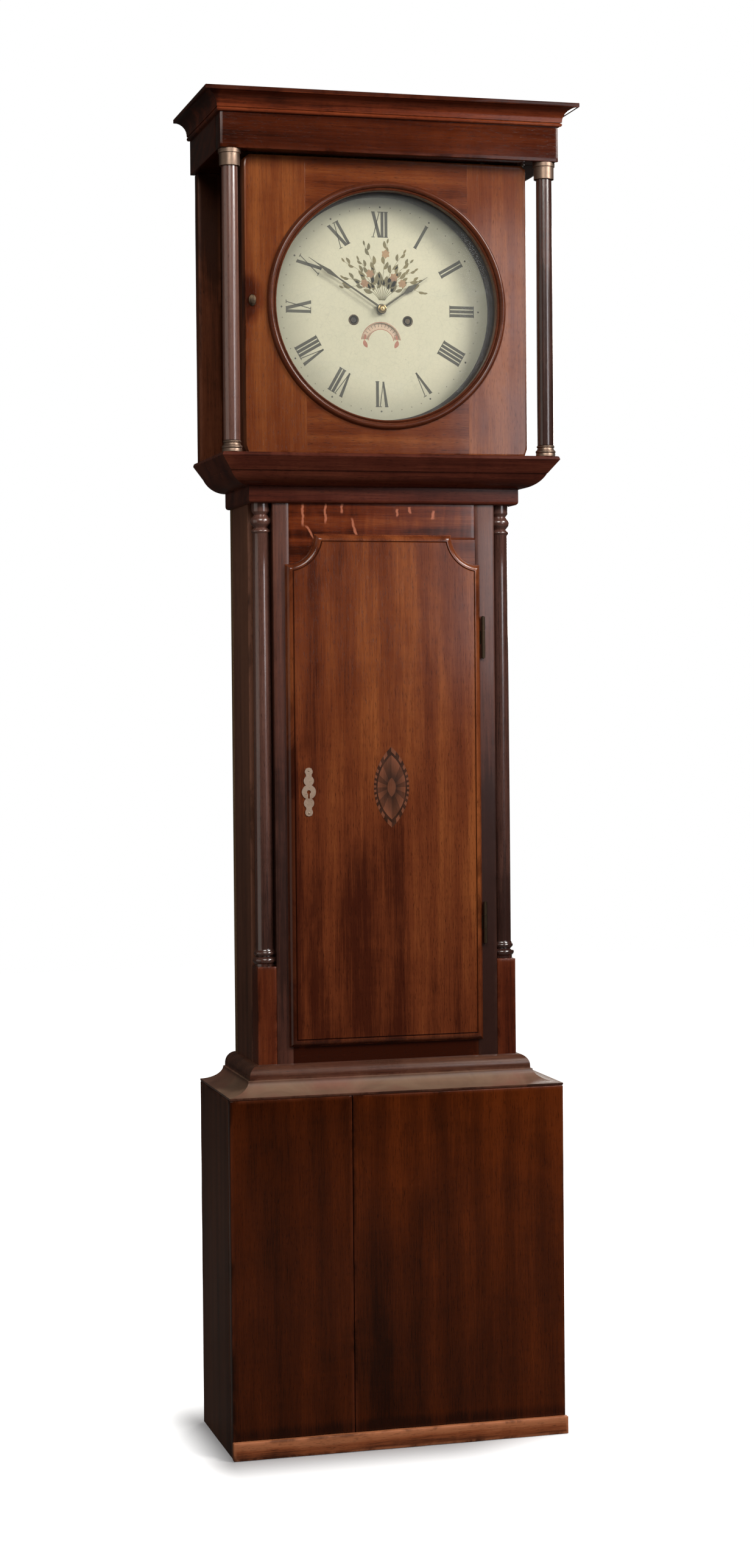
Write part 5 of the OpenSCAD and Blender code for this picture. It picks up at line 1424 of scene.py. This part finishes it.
# %% [markdown]
# ## The weight lines
# Three strands of gut are twisted together. A plain tube would look like wire, so the section has
# three lobes that turn along the path, which show as strands when the light falls across them.


# %% Gut lines
LINE_R, ROW = 0.0009, 0.0012


def twisted(path, out, pitch=0.0065, n=12):
    """Three strands round a path: the section's radius is LINE_R x (0.8 + 0.2 |cos 1.5 a|), where
    the angle a turns once in each pitch of the path's length. `out` is one crosswise direction
    and Y the other."""
    path, out = np.asarray(path, float), np.broadcast_to(out, (len(path), 3))
    gone = np.concatenate([[0], np.cumsum(np.linalg.norm(np.diff(path, axis=0), axis=1))])
    a = np.linspace(0, 2 * np.pi, n, endpoint=False)
    r = LINE_R * (0.8 + 0.2 * np.abs(np.cos(1.5 * (a + (2 * np.pi / pitch * gone)[:, None]))))
    across = np.cos(a)[:, None] * out[:, None] + np.sin(a)[:, None] * np.array([0, 1.0, 0])
    return grid(path[:, None] + r[..., None] * across, wrap=True)


# %% [markdown]
# A line hangs in two straight runs and passes under its pulley in a half circle. The half circle
# rides on the weight, and the runs stay fixed with the case.

# %% Hanging the lines
travel = {j["name"]: j["range_m"][1] for j in frame["joints"] if "range_m" in j}
for side in ("going", "strike"):
    node, drop = side + "_line", side + "_weight_drop"
    (x0, y0, z0), (x1, y1, z1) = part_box(node)
    x, y, run = (x0 + x1) / 2, (y0 + y1) / 2, (x1 - x0) / 2 - LINE_R
    pulley = z0 + run + LINE_R
    heights = np.append(np.arange(pulley, z1, ROW), z1)
    runs = []
    for e in (-1, 1):
        path = np.stack([np.full_like(heights, x + e * run), np.full_like(heights, y), heights], 1)
        runs.append(twisted(path, (1, 0, 0)))
    piece = make(side + "_line_runs", join(runs), GUT, "case", node, smooth=180)
    1 - travel[drop] / (z1 - pulley)
    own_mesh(piece)
    a = np.linspace(np.pi, 2 * np.pi, 60)
    out = np.stack([np.cos(a), np.zeros(60), np.sin(a)], 1)
    loop = twisted(np.array([x, y, pulley]) + run * out, out)
    make(side + "_line_loop", loop, GUT, side + "_weight", node, smooth=180)
print("lines hung")

# %% [markdown]
# ## The remaining CAD pieces
# Wheels, plates, weights and the like keep the CAD's own shapes, which are true already. They only
# need a material, and smooth shading that stays crisp at their corners.

# %% Paint the CAD pieces
DRESS = [
    (METAL["plate"], "movement_pillars front_plate back_plate movement_brackets bell great_wheel "
     "centre_wheel third_wheel escape_wheel minute_wheel hour_wheel going_pulley strike_pulley "
     "trunk_door_lock"),
    (METAL["barrel"], "going_barrel strike_barrel"),
    (METAL["brass"], "pendulum_bob"),
    (METAL["dark_brass"], "trunk_hinge_leaves trunk_door_hinges hood_door_pivots"),
    (METAL["keyhole_brass"], "trunk_door_escutcheon"),
    (METAL["steel"], "pendulum_rod pallet_anchor bell_hammer"),
    (METAL["iron"], "going_weight strike_weight"),
    (PAINT["dial"], "dial"),
    (PAINT["blush"], "date_ring"),
    (PAINT["hand"], "minute_hand hour_hand"),
    (GLASS, "hood_door_glass"),
    (GUT, "line_ends"),
    (WOOD["pine_v"], "backboards"),
    (WOOD["pine_x"], "seatboard"),
]
for material, nodes in DRESS:
    for mesh in (NODES[node].data for node in nodes.split()):
        mesh.materials.clear()
        mesh.materials.append(material)
        mesh.polygons.foreach_set("use_smooth", np.ones(len(mesh.polygons), bool))
        mesh.set_sharp_from_angle(angle=math.radians(30))
print("CAD pieces painted")

# %% [markdown]
# ## Stage and camera
# A white room: the world and the floor are white to the camera and dim to the clock, so that the
# background doesn't bleach the wood. The floor darkens close round the clock, as in its shadow.


# %% World and floor
def staged(name, data):
    """An object that belongs to the stage and not to the clock."""
    obj = bpy.data.objects.new(name, data)
    bpy.context.scene.collection.objects.link(obj)
    return obj


room = Shader("room", "worlds")
bpy.context.scene.world = room.made
white = room.node("Background", {"Color": (1, 1, 1, 1)})
dim = room.node("Background", {"Color": (1.0, 0.9, 0.8, 1), "Strength": 0.025})
ins = {0: room.node("LightPath", out="Is Camera Ray"), 1: dim, 2: white}
room.node("OutputWorld", {"Surface": room.node("MixShader", ins)})

FOOTPRINT, SPREAD, HALF = (0.266, 0.109, 0), (0.7, 0.33, 1), 7.0
s = Shader("white floor")
past = s.vector("SUBTRACT", s.vector("ABSOLUTE", s.node("TexCoord", out="Object")), FOOTPRINT)
past = s.vector("MULTIPLY", s.vector("MAXIMUM", past, (0, 0, 0)), SPREAD)
far = s.vector("LENGTH", past, out="Value")
shade = (far + s.axis(0).ramp(0.05, 0.32) * 0.03).ramp(-0.014, 0.058)
matt = dict(Roughness=0.9, Specular_IOR_Level=0.0)
seen = s.surface(
    Base_Color=s.mix(shade, (0.45, 0.45, 0.46), (0.8, 0.8, 0.8)),
    Emission_Color=s.mix(shade, (0.04, 0.04, 0.045), (1.05, 1.05, 1.05)), Emission_Strength=1.0,
    **matt)
bounce = s.surface(Base_Color=(0.16, 0.15, 0.14), **matt)
ins = {0: s.node("LightPath", out="Is Camera Ray"), 1: bounce, 2: seen}
s.node("OutputMaterial", {"Surface": s.node("MixShader", ins)})
mesh = bpy.data.meshes.new("floor")
mesh.from_pydata([(-HALF, -HALF, 0), (HALF, -HALF, 0), (HALF, HALF, 0), (-HALF, HALF, 0)], [],
                 [(0, 1, 2, 3)])
mesh.materials.append(s.made)
staged("floor", mesh)
print("floor", 2 * HALF, "m wide")

# %% [markdown]
# Polished wood shows its lamps, so they are few and soft: one tall panel gives the sheen down the
# front, two windows light it from both sides, and two weak ones fill the left and the back.

# %% Lamps
WARM = (1.0, 0.96, 0.92)
LAMPS = [  # name, place, aim, width and height, watts, colour
    ("sheen", (1.25, -2.48, 1.76), (0, 0, 1.5), (0.72, 1.14), 10.2, (0.98, 0.96, 1.0)),
    ("window right", (1.85, -1.85, 2.9), (0, 0, 1.5), (1.0, 1.0), 62, WARM),
    ("window front", (-0.7, -2.5, 3.0), (0, 0, 1.5), (1.4, 1.0), 38, (1.0, 0.97, 0.92)),
    ("fill left", (-3.2, -0.6, 1.4), (-0.2, 0, 1.1), (3.0, 3.0), 14, (1.0, 0.93, 0.85)),
    ("room behind", (2.1, 3.1, 1.9), (0, 0, 1.1), (1.2, 1.2), 40, WARM),
]
for name, place, aim, size, watts, colour in LAMPS:
    data = bpy.data.lights.new(name, "AREA")
    data.shape, data.size, data.size_y = "RECTANGLE", *size
    data.energy, data.color = watts, colour
    lamp = staged(name, data)
    lamp.location = place
    lamp.rotation_euler = (Vector(aim) - Vector(place)).to_track_quat("-Z", "Y").to_euler()
print("lamps", len(LAMPS))

# %% [markdown]
# The camera's place, angles and lens are those fitted to the edges in the photograph; the lens
# comes from a focal length in pixels over the photograph's height.

# %% Camera
EYE = (-1.0843, -3.9835, 1.1528)
FOCAL_PX, PHOTO_PX, SENSOR = 4364, 2576, 36.0
YAW, PITCH, ROLL = (math.radians(a) for a in (15.1, -1.3, -0.5))
ahead = Vector((math.sin(YAW) * math.cos(PITCH), math.cos(YAW) * math.cos(PITCH), math.sin(PITCH)))
right = Vector((math.cos(YAW), -math.sin(YAW), 0))
up = right.cross(ahead)
right, up = (right * math.cos(ROLL) + up * math.sin(ROLL),
             up * math.cos(ROLL) - right * math.sin(ROLL))
lens = bpy.data.cameras.new("camera")
lens.sensor_width, lens.sensor_fit = SENSOR, "AUTO"
lens.lens = SENSOR * FOCAL_PX / PHOTO_PX
lens.shift_x, lens.shift_y = 0.0021, -0.0203
lens.clip_start, lens.clip_end = 0.05, 60
camera = bpy.data.objects.new("camera", lens)
bpy.context.scene.collection.objects.link(camera)
camera.matrix_world = Matrix.Translation(EYE) @ Matrix((right, up, -ahead)).transposed().to_4x4()
bpy.context.scene.camera = camera
bpy.context.scene.view_settings.view_transform = "Standard"
print("lens in mm", round(lens.lens, 2))
